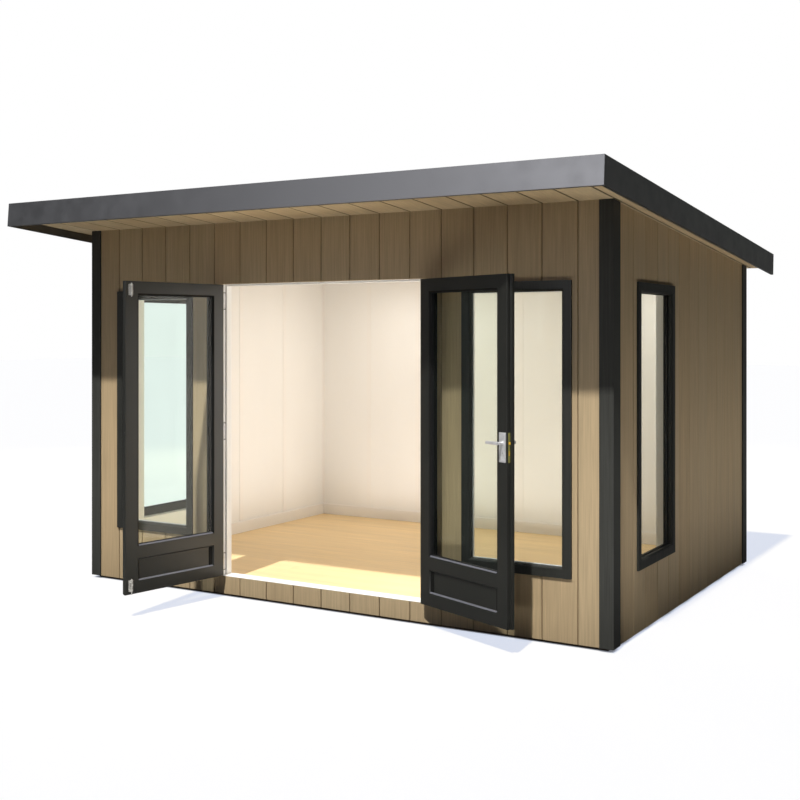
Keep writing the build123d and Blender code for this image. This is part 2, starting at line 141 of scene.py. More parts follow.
@dataclass(frozen=True)
class RoofPlane:
    """The plane of the soffit: where it leaves the front wall and how steeply it falls."""

    start: Vector
    pitch: float

    @classmethod
    def from_frame(cls) -> "RoofPlane":
        """Reads the plane off the tops of the front and back boards.

        Returns:
            The plane.
        """
        front = Box.around("front_cladding_left")
        back = Box.around("back_cladding")
        fall = front.high.z - back.high.z
        pitch = math.atan2(fall, back.low.y - front.low.y)
        return cls(Vector((0, front.low.y, front.high.z)), pitch)

    @property
    def normal(self) -> Vector:
        """The way that stands square out of the roof."""
        return Vector((0, math.sin(self.pitch), math.cos(self.pitch)))

    @property
    def matrix(self) -> Matrix:
        """Lays a flat shape in the slope, with y = 0 over the face of the front wall."""
        return Matrix.Translation(self.start) @ Matrix.Rotation(-self.pitch, 4, "X")

    def flat_box(self, *nodes: str) -> Box:
        """Measures frame nodes in the roof's own directions.

        Args:
            nodes: names of frame nodes that lie in the slope.

        Returns:
            Their box, with y down the slope and z square to it.
        """
        flat = self.matrix.inverted()
        return Box.holding(
            [flat @ v.co for node in nodes for v in frame["nodes"][node].data.vertices],
        )


def joint_named(name: str) -> dict:
    """Finds a joint of the frame by its name."""
    return next(joint for joint in frame["joints"] if joint["name"] == name)


class Body(Enum):
    """The moving bodies of the frame."""

    POD = "pod"
    LEFT_DOOR = "left_door"
    RIGHT_DOOR = "right_door"
    LEVER = "lever"
    TOP_BOLT = "top_bolt"
    BOTTOM_BOLT = "bottom_bolt"


class Slot(Enum):
    """The material slots of the part's record."""

    OAK = "oak_floor"
    LINING = "white_lining"
    CLADDING = "cladding"
    SOFFIT = "soffit_boards"
    TRIM = "anthracite_trim"
    FASCIA = "anthracite_fascia"
    WINDOW_PAINT = "window_paint"
    GLASS = "window_glass"
    DOOR_PAINT = "door_paint"
    WHITE_FRAME = "white_frame"
    MEMBRANE = "roof_membrane"
    METAL = "satin_metal"
    BRASS = "lock_brass"


# ---- the modelling bench ----
class Pick(Enum):
    """What an edit takes hold of."""

    EDGES = "EDGE"
    FACES = "FACE"


def everything(middle: Vector, way: Vector) -> bool:
    """Passes every edge or face."""
    return True


def facing(way: Triple) -> Test:
    """Makes a test for faces that look one way."""
    wanted = Vector(way)
    return lambda middle, normal: normal.dot(wanted) > SAME_WAY


def running(axis: int) -> Test:
    """Makes a test for edges that run along one axis."""
    return lambda middle, way: abs(way[axis]) > SAME_WAY


def within(box: Box) -> Test:
    """Makes a test for faces that look forwards or backwards inside a box's outline."""
    return lambda middle, normal: abs(normal.y) > SAME_WAY and box.frames(middle)


def rim(box: Box, *depths: float) -> Test:
    """Makes a test for the edges in and round a box's outline, in faces at these depths."""
    near: Test = lambda middle, way: min(abs(middle.y - depth) for depth in depths) < TINY
    return lambda middle, way: near(middle, way) and box.frames(middle, TINY)


def take(*pieces: Piece) -> None:
    """Selects these pieces and nothing else.

    Args:
        pieces: the pieces, the first of which becomes the active one.
    """
    bpy.ops.object.select_all(action="DESELECT")
    for piece in pieces:
        piece.select_set(True)
    bpy.context.view_layer.objects.active = pieces[0]


def settle(piece: Piece) -> Piece:
    """Writes a piece's place, turn and scale into its mesh.

    Args:
        piece: the piece.

    Returns:
        The same piece.
    """
    take(piece)
    bpy.ops.object.transform_apply(location=True, rotation=True, scale=True)
    return piece


def named(piece: Piece, name: str) -> Piece:
    """Names a piece and its mesh alike."""
    piece.name = piece.data.name = name
    return piece


def block(name: str, low: Point, high: Point) -> Piece:
    """Adds a block between two corners.

    Args:
        name: the new piece's name.
        low: its lowest corner.
        high: its highest corner.

    Returns:
        The block.
    """
    bpy.ops.object.select_all(action="DESELECT")
    low, high = Vector(low), Vector(high)
    bpy.ops.mesh.primitive_cube_add(size=1, location=(low + high) / 2, scale=high - low)
    return settle(named(bpy.context.object, name))


def rod(
    name: str, start: Point, end: Point, radius: float, sides: int = 24,
) -> Piece:
    """Adds a round bar between two points.

    Args:
        name: the new piece's name.
        start: the middle of one end.
        end: the middle of the other end.
        radius: the bar's radius.
        sides: how many sides its round has.

    Returns:
        The bar.
    """
    bpy.ops.object.select_all(action="DESELECT")
    start, end = Vector(start), Vector(end)
    run = end - start
    bpy.ops.mesh.primitive_cylinder_add(vertices=sides, radius=radius, depth=run.length)
    turn = run.to_track_quat("Z", "Y").to_matrix().to_4x4()
    piece = named(bpy.context.object, name)
    return put(piece, Matrix.Translation((start + end) / 2) @ turn)


@contextmanager
def editing(piece: Piece, pick: Pick, test: Test) -> Iterator[None]:
    """Opens edit mode with what passes the test selected.

    Args:
        piece: the piece to edit.
        pick: whether edges or faces are taken.
        test: says yes or no to a middle and a normal, or to an edge's middle and way.

    Returns:
        A context that closes edit mode again.
    """
    take(piece)
    bpy.ops.object.mode_set(mode="EDIT")
    bpy.ops.mesh.select_mode(type=pick.value)
    bpy.ops.mesh.select_all(action="DESELECT")
    shape = bmesh.from_edit_mesh(piece.data)
    if pick is Pick.FACES:
        for face in shape.faces:
            face.select_set(test(face.calc_center_median(), face.normal))
    else:
        for edge in shape.edges:
            a, b = (vertex.co for vertex in edge.verts)
            if test((a + b) / 2, (b - a).normalized()):
                edge.select_set(True)
    bmesh.update_edit_mesh(piece.data)
    yield
    bpy.ops.object.mode_set(mode="OBJECT")


def bevel(piece: Piece, width: float, test: Test = everything, segments: int = 1) -> None:
    """Chamfers or rounds the edges that pass the test."""
    with editing(piece, Pick.EDGES, test):
        bpy.ops.mesh.bevel(offset=width, segments=segments, affect="EDGES")


def extrude(piece: Piece, test: Test, move: Point) -> None:
    """Draws the faces that pass the test out along a move."""
    with editing(piece, Pick.FACES, test):
        bpy.ops.mesh.extrude_region_move(TRANSFORM_OT_translate={"value": tuple(move)})


def inset(piece: Piece, test: Test, width: float) -> None:
    """Insets each face that passes the test, flat."""
    with editing(piece, Pick.FACES, test):
        bpy.ops.mesh.inset(thickness=width, depth=0, use_individual=True)


def bridge(piece: Piece, test: Test) -> None:
    """Joins two faces that pass the test by a hole through the piece."""
    with editing(piece, Pick.FACES, test):
        bpy.ops.mesh.bridge_edge_loops()


def score(piece: Piece, axis: int, at: float) -> None:
    """Cuts a line round a piece, square to one axis, and leaves it whole.

    Args:
        piece: the piece.
        axis: the axis.
        at: how far along the axis.
    """
    normal = Vector([float(each == axis) for each in (X, Y, Z)])
    with editing(piece, Pick.FACES, everything):
        bpy.ops.mesh.bisect(plane_co=normal * at, plane_no=normal)


def slice_off(piece: Piece, point: Point, normal: Point) -> None:
    """Saws off what lies beyond a plane, whose normal is to the waste side, and closes the cut."""
    with editing(piece, Pick.FACES, everything):
        bpy.ops.mesh.bisect(plane_co=point, plane_no=normal, use_fill=True, clear_outer=True)


def modify(piece: Piece, kind: str, **settings: object) -> None:
    """Adds a modifier to a piece, sets it and applies it.

    Args:
        piece: the piece.
        kind: the modifier's type.
        settings: the modifier's own settings.
    """
    take(piece)
    bpy.ops.object.modifier_add(type=kind)
    modifier = piece.modifiers[-1]
    for setting, value in settings.items():
        setattr(modifier, setting, value)
    bpy.ops.object.modifier_apply(modifier=modifier.name)


def repeat(piece: Piece, count: int, step: Point) -> None:
    """Repeats a piece in a row, so many in all and each a step from the last."""
    spacing = {"use_constant_offset": True, "constant_offset_displace": step}
    modify(piece, "ARRAY", count=count, use_relative_offset=False, **spacing)


def carve(piece: Piece, *cutters: Piece) -> None:
    """Cuts shapes out of a piece.

    Args:
        piece: the piece.
        cutters: the shapes, which are thrown away.
    """
    cutter = join("cutter", *cutters)
    modify(piece, "BOOLEAN", operation="DIFFERENCE", solver="EXACT", object=cutter)
    bpy.data.objects.remove(cutter)


def smooth_shade(piece: Piece, turn: float = CRISP_TURN) -> None:
    """Smooths the shading over edges that turn by less than this many degrees."""
    take(piece)
    bpy.ops.object.shade_smooth_by_angle(angle=math.radians(turn))


def ease(piece: Piece, width: float, segments: int = 2, angle: float = 50.0) -> Piece:
    """Rounds every sharp edge a little and smooths the shading between.

    Args:
        piece: the piece to finish.
        width: how far the rounding reaches from the edge.
        segments: how many facets it has.
        angle: edges that turn by less, in degrees, stay as they are.

    Returns:
        The same piece.
    """
    modify(
        piece, "BEVEL", width=width, segments=segments, limit_method="ANGLE",
        angle_limit=math.radians(angle),
    )
    smooth_shade(piece, ROUNDED_TURN if segments > FEW_FACETS else CRISP_TURN)
    return piece


def join(name: str, *pieces: Piece) -> Piece:
    """Joins pieces into one.

    Args:
        name: the name of the whole.
        pieces: the pieces, of which there may be only one.

    Returns:
        The whole.
    """
    take(*pieces)
    if len(pieces) > 1:
        bpy.ops.object.join()
    return named(bpy.context.object, name)


def twin(piece: Piece) -> Piece:
    """Copies a piece, mesh and all, where it is.

    Args:
        piece: the piece.

    Returns:
        The copy.
    """
    take(piece)
    bpy.ops.object.duplicate(linked=False)
    return bpy.context.object


def put(piece: Piece, matrix: Matrix) -> Piece:
    """Puts a piece where a matrix says, written into its mesh."""
    piece.matrix_world = matrix
    return settle(piece)


def mirror(piece: Piece) -> Piece:
    """Mirrors a piece to the other side of the middle, faces outwards.

    Args:
        piece: the piece.

    Returns:
        The same piece.
    """
    piece.scale.x = -1
    settle(piece)
    with editing(piece, Pick.FACES, everything):
        bpy.ops.mesh.normals_make_consistent(inside=False)
    return piece


def rework(node: str, name: str) -> Piece:
    """Takes a copy of a frame node with its loose triangles merged to whole faces.

    Args:
        node: the frame node to copy.
        name: the copy's name.

    Returns:
        The copy, ready to be eased.
    """
    piece = bpy.data.objects.new(name, frame["nodes"][node].data.copy())
    bpy.context.collection.objects.link(named(piece, name))
    with editing(piece, Pick.FACES, everything):
        bpy.ops.mesh.remove_doubles(threshold=TINY / 10)
        bpy.ops.mesh.dissolve_limited(angle_limit=math.radians(1))
    return piece


def frame_ring(
    name: str, low: Vector, high: Vector, face: float, chamfer: float = 0.0,
) -> Piece:
    """Makes an upright four-sided frame that looks along -Y.

    Args:
        name: the new piece's name.
        low: lowest corner of its outside.
        high: highest corner of its outside.
        face: how wide its four sides show.
        chamfer: width of the slope round the opening at the front, or 0.

    Returns:
        The frame.
    """
    piece = block(name, low, high)
    whole = Box(low, high)
    hole = Box(*whole.slab(low.y, high.y, face))
    inset(piece, within(whole), face)
    bridge(piece, within(hole))
    if chamfer:
        bevel(piece, chamfer, rim(hole, low.y))
    return piece


# ---- finishes ----
class Recipe:
    """A material or world being mixed: its nodes and the few steps that the finishes share."""

    def __init__(self, owner: Material | bpy.types.World, output: str) -> None:
        """Empties the node tree of a material or world and gives it an output.

        Args:
            owner: the material or world.
            output: the type of its output node.
        """
        owner.use_nodes = True
        self.owner = owner
        self.tree = owner.node_tree
        self.tree.nodes.clear()
        self.output = self.tree.nodes.new(output)

    @classmethod
    def material(cls, name: str) -> "Recipe":
        """Starts an empty material of this name."""
        return cls(bpy.data.materials.new(name), "ShaderNodeOutputMaterial")

    def add(self, kind: str, inputs: dict | None = None, **settings: object) -> Node:
        """Adds a node.

        Args:
            kind: the node's type.
            inputs: the values or sockets that go into it, by name or number.
            settings: the node's own settings.

        Returns:
            The node.
        """
        node = self.tree.nodes.new(kind)
        for key, value in settings.items():
            setattr(node, key, value)
        for key, value in (inputs or {}).items():
            if isinstance(value, Socket):
                self.tree.links.new(value, node.inputs[key])
            else:
                node.inputs[key].default_value = value
        return node

    def coords(self) -> Socket:
        """The piece's own place, in metres."""
        return self.add("ShaderNodeTexCoord").outputs["Object"]

    def axes(self, vector: Socket) -> Sequence[Socket]:
        """Takes a place apart into x, y and z."""
        return self.add("ShaderNodeSeparateXYZ", {0: vector}).outputs

    def stretched(self, vector: Socket, scale: Triple) -> Socket:
        """Stretches a place by how many repeats a metre holds each way."""
        return self.add("ShaderNodeMapping", {"Vector": vector, "Scale": scale}).outputs[0]

    def noise(self, vector: Socket, scale: float = 1.0, detail: float = 3.0) -> Socket:
        """Soft random values round one half."""
        inputs = {"Vector": vector, "Scale": scale, "Detail": detail}
        return self.add("ShaderNodeTexNoise", inputs).outputs[0]

    def grain(self, vector: Socket, scale: Triple, detail: float) -> Socket:
        """Soft random values, stretched along the grain."""
        return self.noise(self.stretched(vector, scale), detail=detail)

    def ranged(self, value: Socket, source: Pair = (0.0, 1.0), target: Pair = (0.0, 1.0)) -> Socket:
        """Maps one range of values to another and holds them at its ends."""
        ends = dict(zip(("From Min", "From Max", "To Min", "To Max"), (*source, *target)))
        return self.add("ShaderNodeMapRange", {"Value": value, **ends}).outputs[0]

    def spread(self, value: Socket, ends: Pair, reach: float = 0.2) -> Socket:
        """Spreads noise, which lies within reach of one half, over a range."""
        return self.ranged(value, (0.5 - reach, 0.5 + reach), ends)

    def math(self, operation: str, first: Socket, second: Socket | float = 0.0) -> Socket:
        """One step of arithmetic."""
        return self.add("ShaderNodeMath", {0: first, 1: second}, operation=operation).outputs[0]

    def blended(
        self, factor: Socket | float, first: Colour | Socket, second: Colour | Socket,
        blend: str = "MIX",
    ) -> Socket:
        """Blends two colours.

        Args:
            factor: 0 for the first, 1 for the second.
            first: one colour.
            second: the other.
            blend: the way of blending.

        Returns:
            The blended colour.
        """
        ends = [end if isinstance(end, Socket) else (*end, 1.0) for end in (first, second)]
        inputs = {0: factor, 6: ends[0], 7: ends[1]}
        return self.add("ShaderNodeMix", inputs, data_type="RGBA", blend_type=blend).outputs[2]

    def shaded(self, colour: Colour | Socket, factor: Socket) -> Socket:
        """Multiplies a colour by a value, which is one where the colour stays."""
        grey = self.add("ShaderNodeCombineColor", dict.fromkeys((0, 1, 2), factor)).outputs[0]
        return self.blended(1.0, colour, grey, "MULTIPLY")

    def toned(self, colour: Colour | Socket, value: Socket, tones: Pair) -> Socket:
        """Multiplies a colour by noise that is spread over a range of tones."""
        return self.shaded(colour, self.spread(value, tones))

    def bump(self, height: Socket, distance: float) -> Socket:
        """Turns a height into a normal; distance is how deep it goes, in metres."""
        inputs = {"Height": height, "Distance": distance, "Strength": 1.0}
        return self.add("ShaderNodeBump", inputs).outputs[0]

    def either(self, factor: Socket, first: Node, second: Node) -> Node:
        """Mixes two shaders: the first where the factor is 0, the second where it is 1."""
        inputs = {0: factor, 1: first.outputs[0], 2: second.outputs[0]}
        return self.add("ShaderNodeMixShader", inputs)

    def close(self, shader: Node) -> None:
        """Ends the recipe with a shader."""
        self.tree.links.new(shader.outputs[0], self.output.inputs["Surface"])

    def surface(self, inputs: dict) -> None:
        """Ends the recipe with one surface shader, given its sockets by name."""
        self.close(self.add("ShaderNodeBsdfPrincipled", inputs))


class Run(Enum):
    """The level direction in which boards are counted."""

    SIDEWAYS = "X"
    BACKWARDS = "Y"


@dataclass(frozen=True)
class BoardFinish:
    """Tan boards with a fine grain along them; each board has a tone of its own."""

    tone: Colour
    run: Run
    first_joint: float
    cover: float
    grain_scale: Triple = UPRIGHT_GRAIN
    warm: Colour = (1.02, 0.995, 0.965)
    cool: Colour = (0.985, 1.0, 1.015)
    board_shift: Triple = (9.0, 9.0, 9.0)
    broad_stretch: float = 5.0
    fine_tones: Pair = (0.88, 1.11)
    broad_tones: Pair = (0.95, 1.05)
    board_tones: Pair = (0.965, 1.03)
    roughness: Pair = (0.58, 0.74)
    shine: float = 0.3
    grain_depth: float = 0.0003
    joint_width: float = 0.004
    joint_dark: float = 0.7

    def fill(self, mix: Recipe) -> None:
        """Mixes the finish.

        Args:
            mix: the recipe that it goes into.
        """
        place = mix.coords()
        count = mix.math("SUBTRACT", mix.axes(place)[self.run.value], self.first_joint)
        board = mix.math("DIVIDE", count, self.cover)
        number = mix.math("FLOOR", board)
        joint = self.joint_width / self.cover
        to_joint = mix.math("PINGPONG", board, 0.5)
        joints = mix.ranged(to_joint, (joint / 2, joint), (self.joint_dark, 1.0))
        own = mix.add("ShaderNodeTexWhiteNoise", {"W": number}, noise_dimensions="1D").outputs
        inputs = {0: own["Color"], 1: self.board_shift}
        shift = mix.add("ShaderNodeVectorMath", inputs, operation="MULTIPLY").outputs[0]
        moved = mix.add("ShaderNodeVectorMath", {0: place, 1: shift}).outputs[0]
        fine = mix.grain(moved, self.grain_scale, 5.0)
        wide = tuple(scale / self.broad_stretch for scale in self.grain_scale)
        broad = mix.grain(moved, wide, 3.0)
        hue = mix.blended(own["Value"], self.warm, self.cool)
        hued = mix.blended(1.0, self.tone, hue, "MULTIPLY")
        grained = mix.toned(hued, fine, self.fine_tones)
        colour = mix.toned(grained, broad, self.broad_tones)
        own_tone = mix.ranged(own["Value"], target=self.board_tones)
        mix.surface({
            "Base Color": mix.shaded(mix.shaded(colour, own_tone), joints),
            "Roughness": mix.spread(fine, self.roughness),
            "Specular IOR Level": self.shine,
            "Normal": mix.bump(fine, self.grain_depth),
        })


@dataclass(frozen=True)
class PaintFinish:
    """Dark satin paint; a timber's grain may show through it."""

    tone: Colour
    grain_scale: Triple = UPRIGHT_GRAIN
    roughness: float = 0.5
    rough_spread: Pair = (-0.06, 0.08)
    shine: float = 1.5
    uneven: float = 0.12
    cloud_scale: float = 2.2
    cloud_tones: Pair = (0.93, 1.07)
    grain_depth: float = 0.0002

    def fill(self, mix: Recipe) -> None:
        """Mixes the finish.

        Args:
            mix: the recipe that it goes into.
        """
        place = mix.coords()
        fine = mix.grain(place, self.grain_scale, 5.0)
        cloud = mix.noise(place, scale=self.cloud_scale, detail=4.0)
        colour = mix.toned(self.tone, fine, (1 - self.uneven, 1 + self.uneven))
        smooth, rough = (self.roughness + change for change in self.rough_spread)
        mix.surface({
            "Base Color": mix.toned(colour, cloud, self.cloud_tones),
            "Roughness": mix.spread(fine, (smooth, rough)),
            "IOR": self.shine,
            "Normal": mix.bump(fine, self.grain_depth),
        })


@dataclass(frozen=True)
class WhiteFinish:
    """White paint or foil with a faint even texture and a little unevenness of tone."""

    tone: Colour
    roughness: float
    rough_spread: float = 0.05
    shine: float = 0.35
    cloud_scale: Triple = (1.6, 1.6, 0.7)
    cloud_tones: Pair = (0.975, 1.015)
    texture_scale: float = 420.0
    texture_tones: Pair = (0.985, 1.01)
    texture_depth: float = 0.00012

    def fill(self, mix: Recipe) -> None:
        """Mixes the finish.

        Args:
            mix: the recipe that it goes into.
        """
        place = mix.coords()
        fine = mix.noise(place, scale=self.texture_scale, detail=2.0)
        cloud = mix.grain(place, self.cloud_scale, 4.0)
        colour = mix.toned(self.tone, cloud, self.cloud_tones)
        ends = (self.roughness - self.rough_spread, self.roughness + self.rough_spread)
        mix.surface({
            "Base Color": mix.toned(colour, fine, self.texture_tones),
            "Roughness": mix.spread(fine, ends),
            "Specular IOR Level": self.shine,
            "Normal": mix.bump(fine, self.texture_depth),
        })


@dataclass(frozen=True)
class OakFinish:
    """Lacquered oak planks that run sideways, each with its own tone and figure."""

    tone: Colour = (0.82, 0.602, 0.325)
    plank_width: float = 0.14
    first_plank: float = 0.0
    grain_scale: Triple = (4.0, 90.0, 90.0)
    figure_scale: Triple = (0.9, 14.0, 14.0)
    fine_tones: Pair = (0.92, 1.06)
    figure_tones: Pair = (0.94, 1.05)
    plank_tones: Pair = (0.98, 1.02)
    roughness: Pair = (0.42, 0.55)
    shine: float = 0.35
    grain_depth: float = 0.0001

    def fill(self, mix: Recipe) -> None:
        """Mixes the finish.

        Args:
            mix: the recipe that it goes into.
        """
        place = mix.coords()
        count = mix.math("SUBTRACT", mix.axes(place)["Y"], self.first_plank)
        number = mix.math("FLOOR", mix.math("DIVIDE", count, self.plank_width))
        own = mix.add("ShaderNodeTexWhiteNoise", {"W": number}, noise_dimensions="1D").outputs
        moved = mix.add("ShaderNodeVectorMath", {0: place, 1: own["Color"]}).outputs[0]
        fine = mix.grain(moved, self.grain_scale, 6.0)
        figure = mix.grain(moved, self.figure_scale, 3.0)
        colour = mix.toned(self.tone, fine, self.fine_tones)
        colour = mix.toned(colour, figure, self.figure_tones)
        mix.surface({
            "Base Color": mix.shaded(colour, mix.ranged(own["Value"], target=self.plank_tones)),
            "Roughness": mix.spread(fine, self.roughness),
            "Specular IOR Level": self.shine,
            "Normal": mix.bump(fine, self.grain_depth),
        })


@dataclass(frozen=True)
class SawnFinish:
    """Rough sawn timber or pressed board, with saw marks or flakes across it."""

    tone: Colour
    dark: Colour
    grain_scale: Triple
    flake_scale: float
    flake_share: float = 0.6
    grain_share: Pair = (0.0, 0.5)
    roughness: Pair = (0.75, 0.95)
    shine: float = 0.2
    grain_depth: float = 0.0008

    def fill(self, mix: Recipe) -> None:
        """Mixes the finish.

        Args:
            mix: the recipe that it goes into.
        """
        place = mix.coords()
        fine = mix.grain(place, self.grain_scale, 5.0)
        flakes = mix.add("ShaderNodeTexVoronoi", {"Vector": place, "Scale": self.flake_scale})
        marked = mix.math("MULTIPLY", flakes.outputs["Distance"], self.flake_share)
        share = mix.math("ADD", marked, mix.spread(fine, self.grain_share))
        mix.surface({
            "Base Color": mix.blended(share, self.tone, self.dark),
            "Roughness": mix.spread(fine, self.roughness),
            "Specular IOR Level": self.shine,
            "Normal": mix.bump(fine, self.grain_depth),
        })


@dataclass(frozen=True)
class MembraneFinish:
    """Dark roofing rubber, a little dusty, with a fine pebbled face."""

    tone: Colour = (0.045, 0.047, 0.05)
    dust: Colour = (0.11, 0.11, 0.105)
    pebble_scale: float = 260.0
    pebble_tones: Pair = (0.85, 1.15)
    pebble_depth: float = 0.0005
    drift_scale: Triple = (1.8, 0.6, 1.0)
    drift_share: Pair = (0.0, 0.8)
    drift_reach: float = 0.25
    roughness: Pair = (0.6, 0.85)
    shine: float = 0.3

    def fill(self, mix: Recipe) -> None:
        """Mixes the finish.

        Args:
            mix: the recipe that it goes into.
        """
        place = mix.coords()
        pebble = mix.noise(place, scale=self.pebble_scale, detail=3.0)
        drift = mix.grain(place, self.drift_scale, 6.0)
        share = mix.spread(drift, self.drift_share, self.drift_reach)
        colour = mix.blended(share, self.tone, self.dust)
        mix.surface({
            "Base Color": mix.toned(colour, pebble, self.pebble_tones),
            "Roughness": mix.spread(drift, self.roughness),
            "Specular IOR Level": self.shine,
            "Normal": mix.bump(pebble, self.pebble_depth),
        })


@dataclass(frozen=True)
class MetalFinish:
    """Satin metal with fine rubbed lines and slightly cloudy shine."""

    tone: Colour
    roughness: float
    rough_spread: Pair = (-0.06, 0.1)
    metallic: float = 0.4
    line_scale: Triple = (60.0, 60.0, 900.0)
    line_tones: Pair = (0.95, 1.05)
    line_depth: float = 0.00002
    cloud_scale: float = 45.0
    cloud_tones: Pair = (0.86, 1.08)

    def fill(self, mix: Recipe) -> None:
        """Mixes the finish.

        Args:
            mix: the recipe that it goes into.
        """
        place = mix.coords()
        lines = mix.grain(place, self.line_scale, 3.0)
        cloud = mix.noise(place, scale=self.cloud_scale, detail=3.0)
        colour = mix.toned(self.tone, cloud, self.cloud_tones)
        smooth, rough = (self.roughness + change for change in self.rough_spread)
        mix.surface({
            "Base Color": mix.toned(colour, lines, self.line_tones),
            "Metallic": self.metallic,
            "Roughness": mix.spread(cloud, (smooth, rough)),
            "Normal": mix.bump(lines, self.line_depth),
        })


@dataclass(frozen=True)
class GlassFinish:
    """Clear sealed glass with a faint green tint and a thin film on its faces."""

    shade: float = 1.0
    tint: Colour = (0.981, 0.994, 0.987)
    film_scale: float = 3.0
    film_tone: float = 0.995
    face_shine: float = 0.003
    edge_shine: float = 0.2
    edge_power: float = 5.0
    roughness: Pair = (0.01, 0.05)

    def fill(self, mix: Recipe) -> None:
        """Mixes the finish.

        Args:
            mix: the recipe that it goes into.
        """
        film = mix.noise(mix.coords(), scale=self.film_scale, detail=4.0)
        filmed = tuple(part * self.film_tone for part in self.tint)
        clear = mix.blended(mix.spread(film, (0.0, 1.0)), self.tint, filmed)
        in_shadow = mix.add("ShaderNodeLightPath").outputs["Is Shadow Ray"]
        clear = mix.shaded(clear, mix.ranged(in_shadow, target=(1.0, self.shade)))
        through = mix.add("ShaderNodeBsdfTransparent", {"Color": clear})
        roughness = mix.spread(film, self.roughness)
        shine = mix.add("ShaderNodeBsdfGlossy", {"Roughness": roughness})
        slant = mix.add("ShaderNodeLayerWeight").outputs["Facing"]
        rising = mix.math("MULTIPLY", mix.math("POWER", slant, self.edge_power), self.edge_shine)
        mix.close(mix.either(mix.math("ADD", rising, self.face_shine), through, shine))


class Coat(Enum):
    """The finishes, by the names of their materials."""

    FRONT_BOARDS = "front_boarding"
    SIDE_BOARDS = "side_boarding"
    SOFFIT = "soffit_boarding"
    TRIM = "corner_trim_paint"
    FASCIA = "smooth_fascia_paint"
    WINDOW = "window_frame_paint"
    DOOR = "door_leaf_paint"
    # a painted highlight on the leaves' sloped edges under the openings
    EDGE = "sill_strip_paint"
    # the beads' paint, also the painted shade strips in the leaves' reveals
    BEAD = "glazing_bead_paint"
    # the seals' and spacers' black, also the painted shade outlines round the hinges
    GASKET_AND_SHADE = "black_gasket"
    LINING = "wall_lining_white"
    STRIP = "cover_strip_white"
    FRAME = "door_frame_white"
    OAK = "lacquered_oak"
    JOIST = "sawn_joist"
    DECK = "flaked_deck"
    CORE = "foam_core"
    MEMBRANE = "roofing_rubber"
    STEEL = "satin_steel"
    DULL_STEEL = "dull_steel"
    BRASS = "lock_brass"
    GOLD = "latch_brass"
    GLASS = "window_glass"
    DOOR_GLASS = "door_glass"


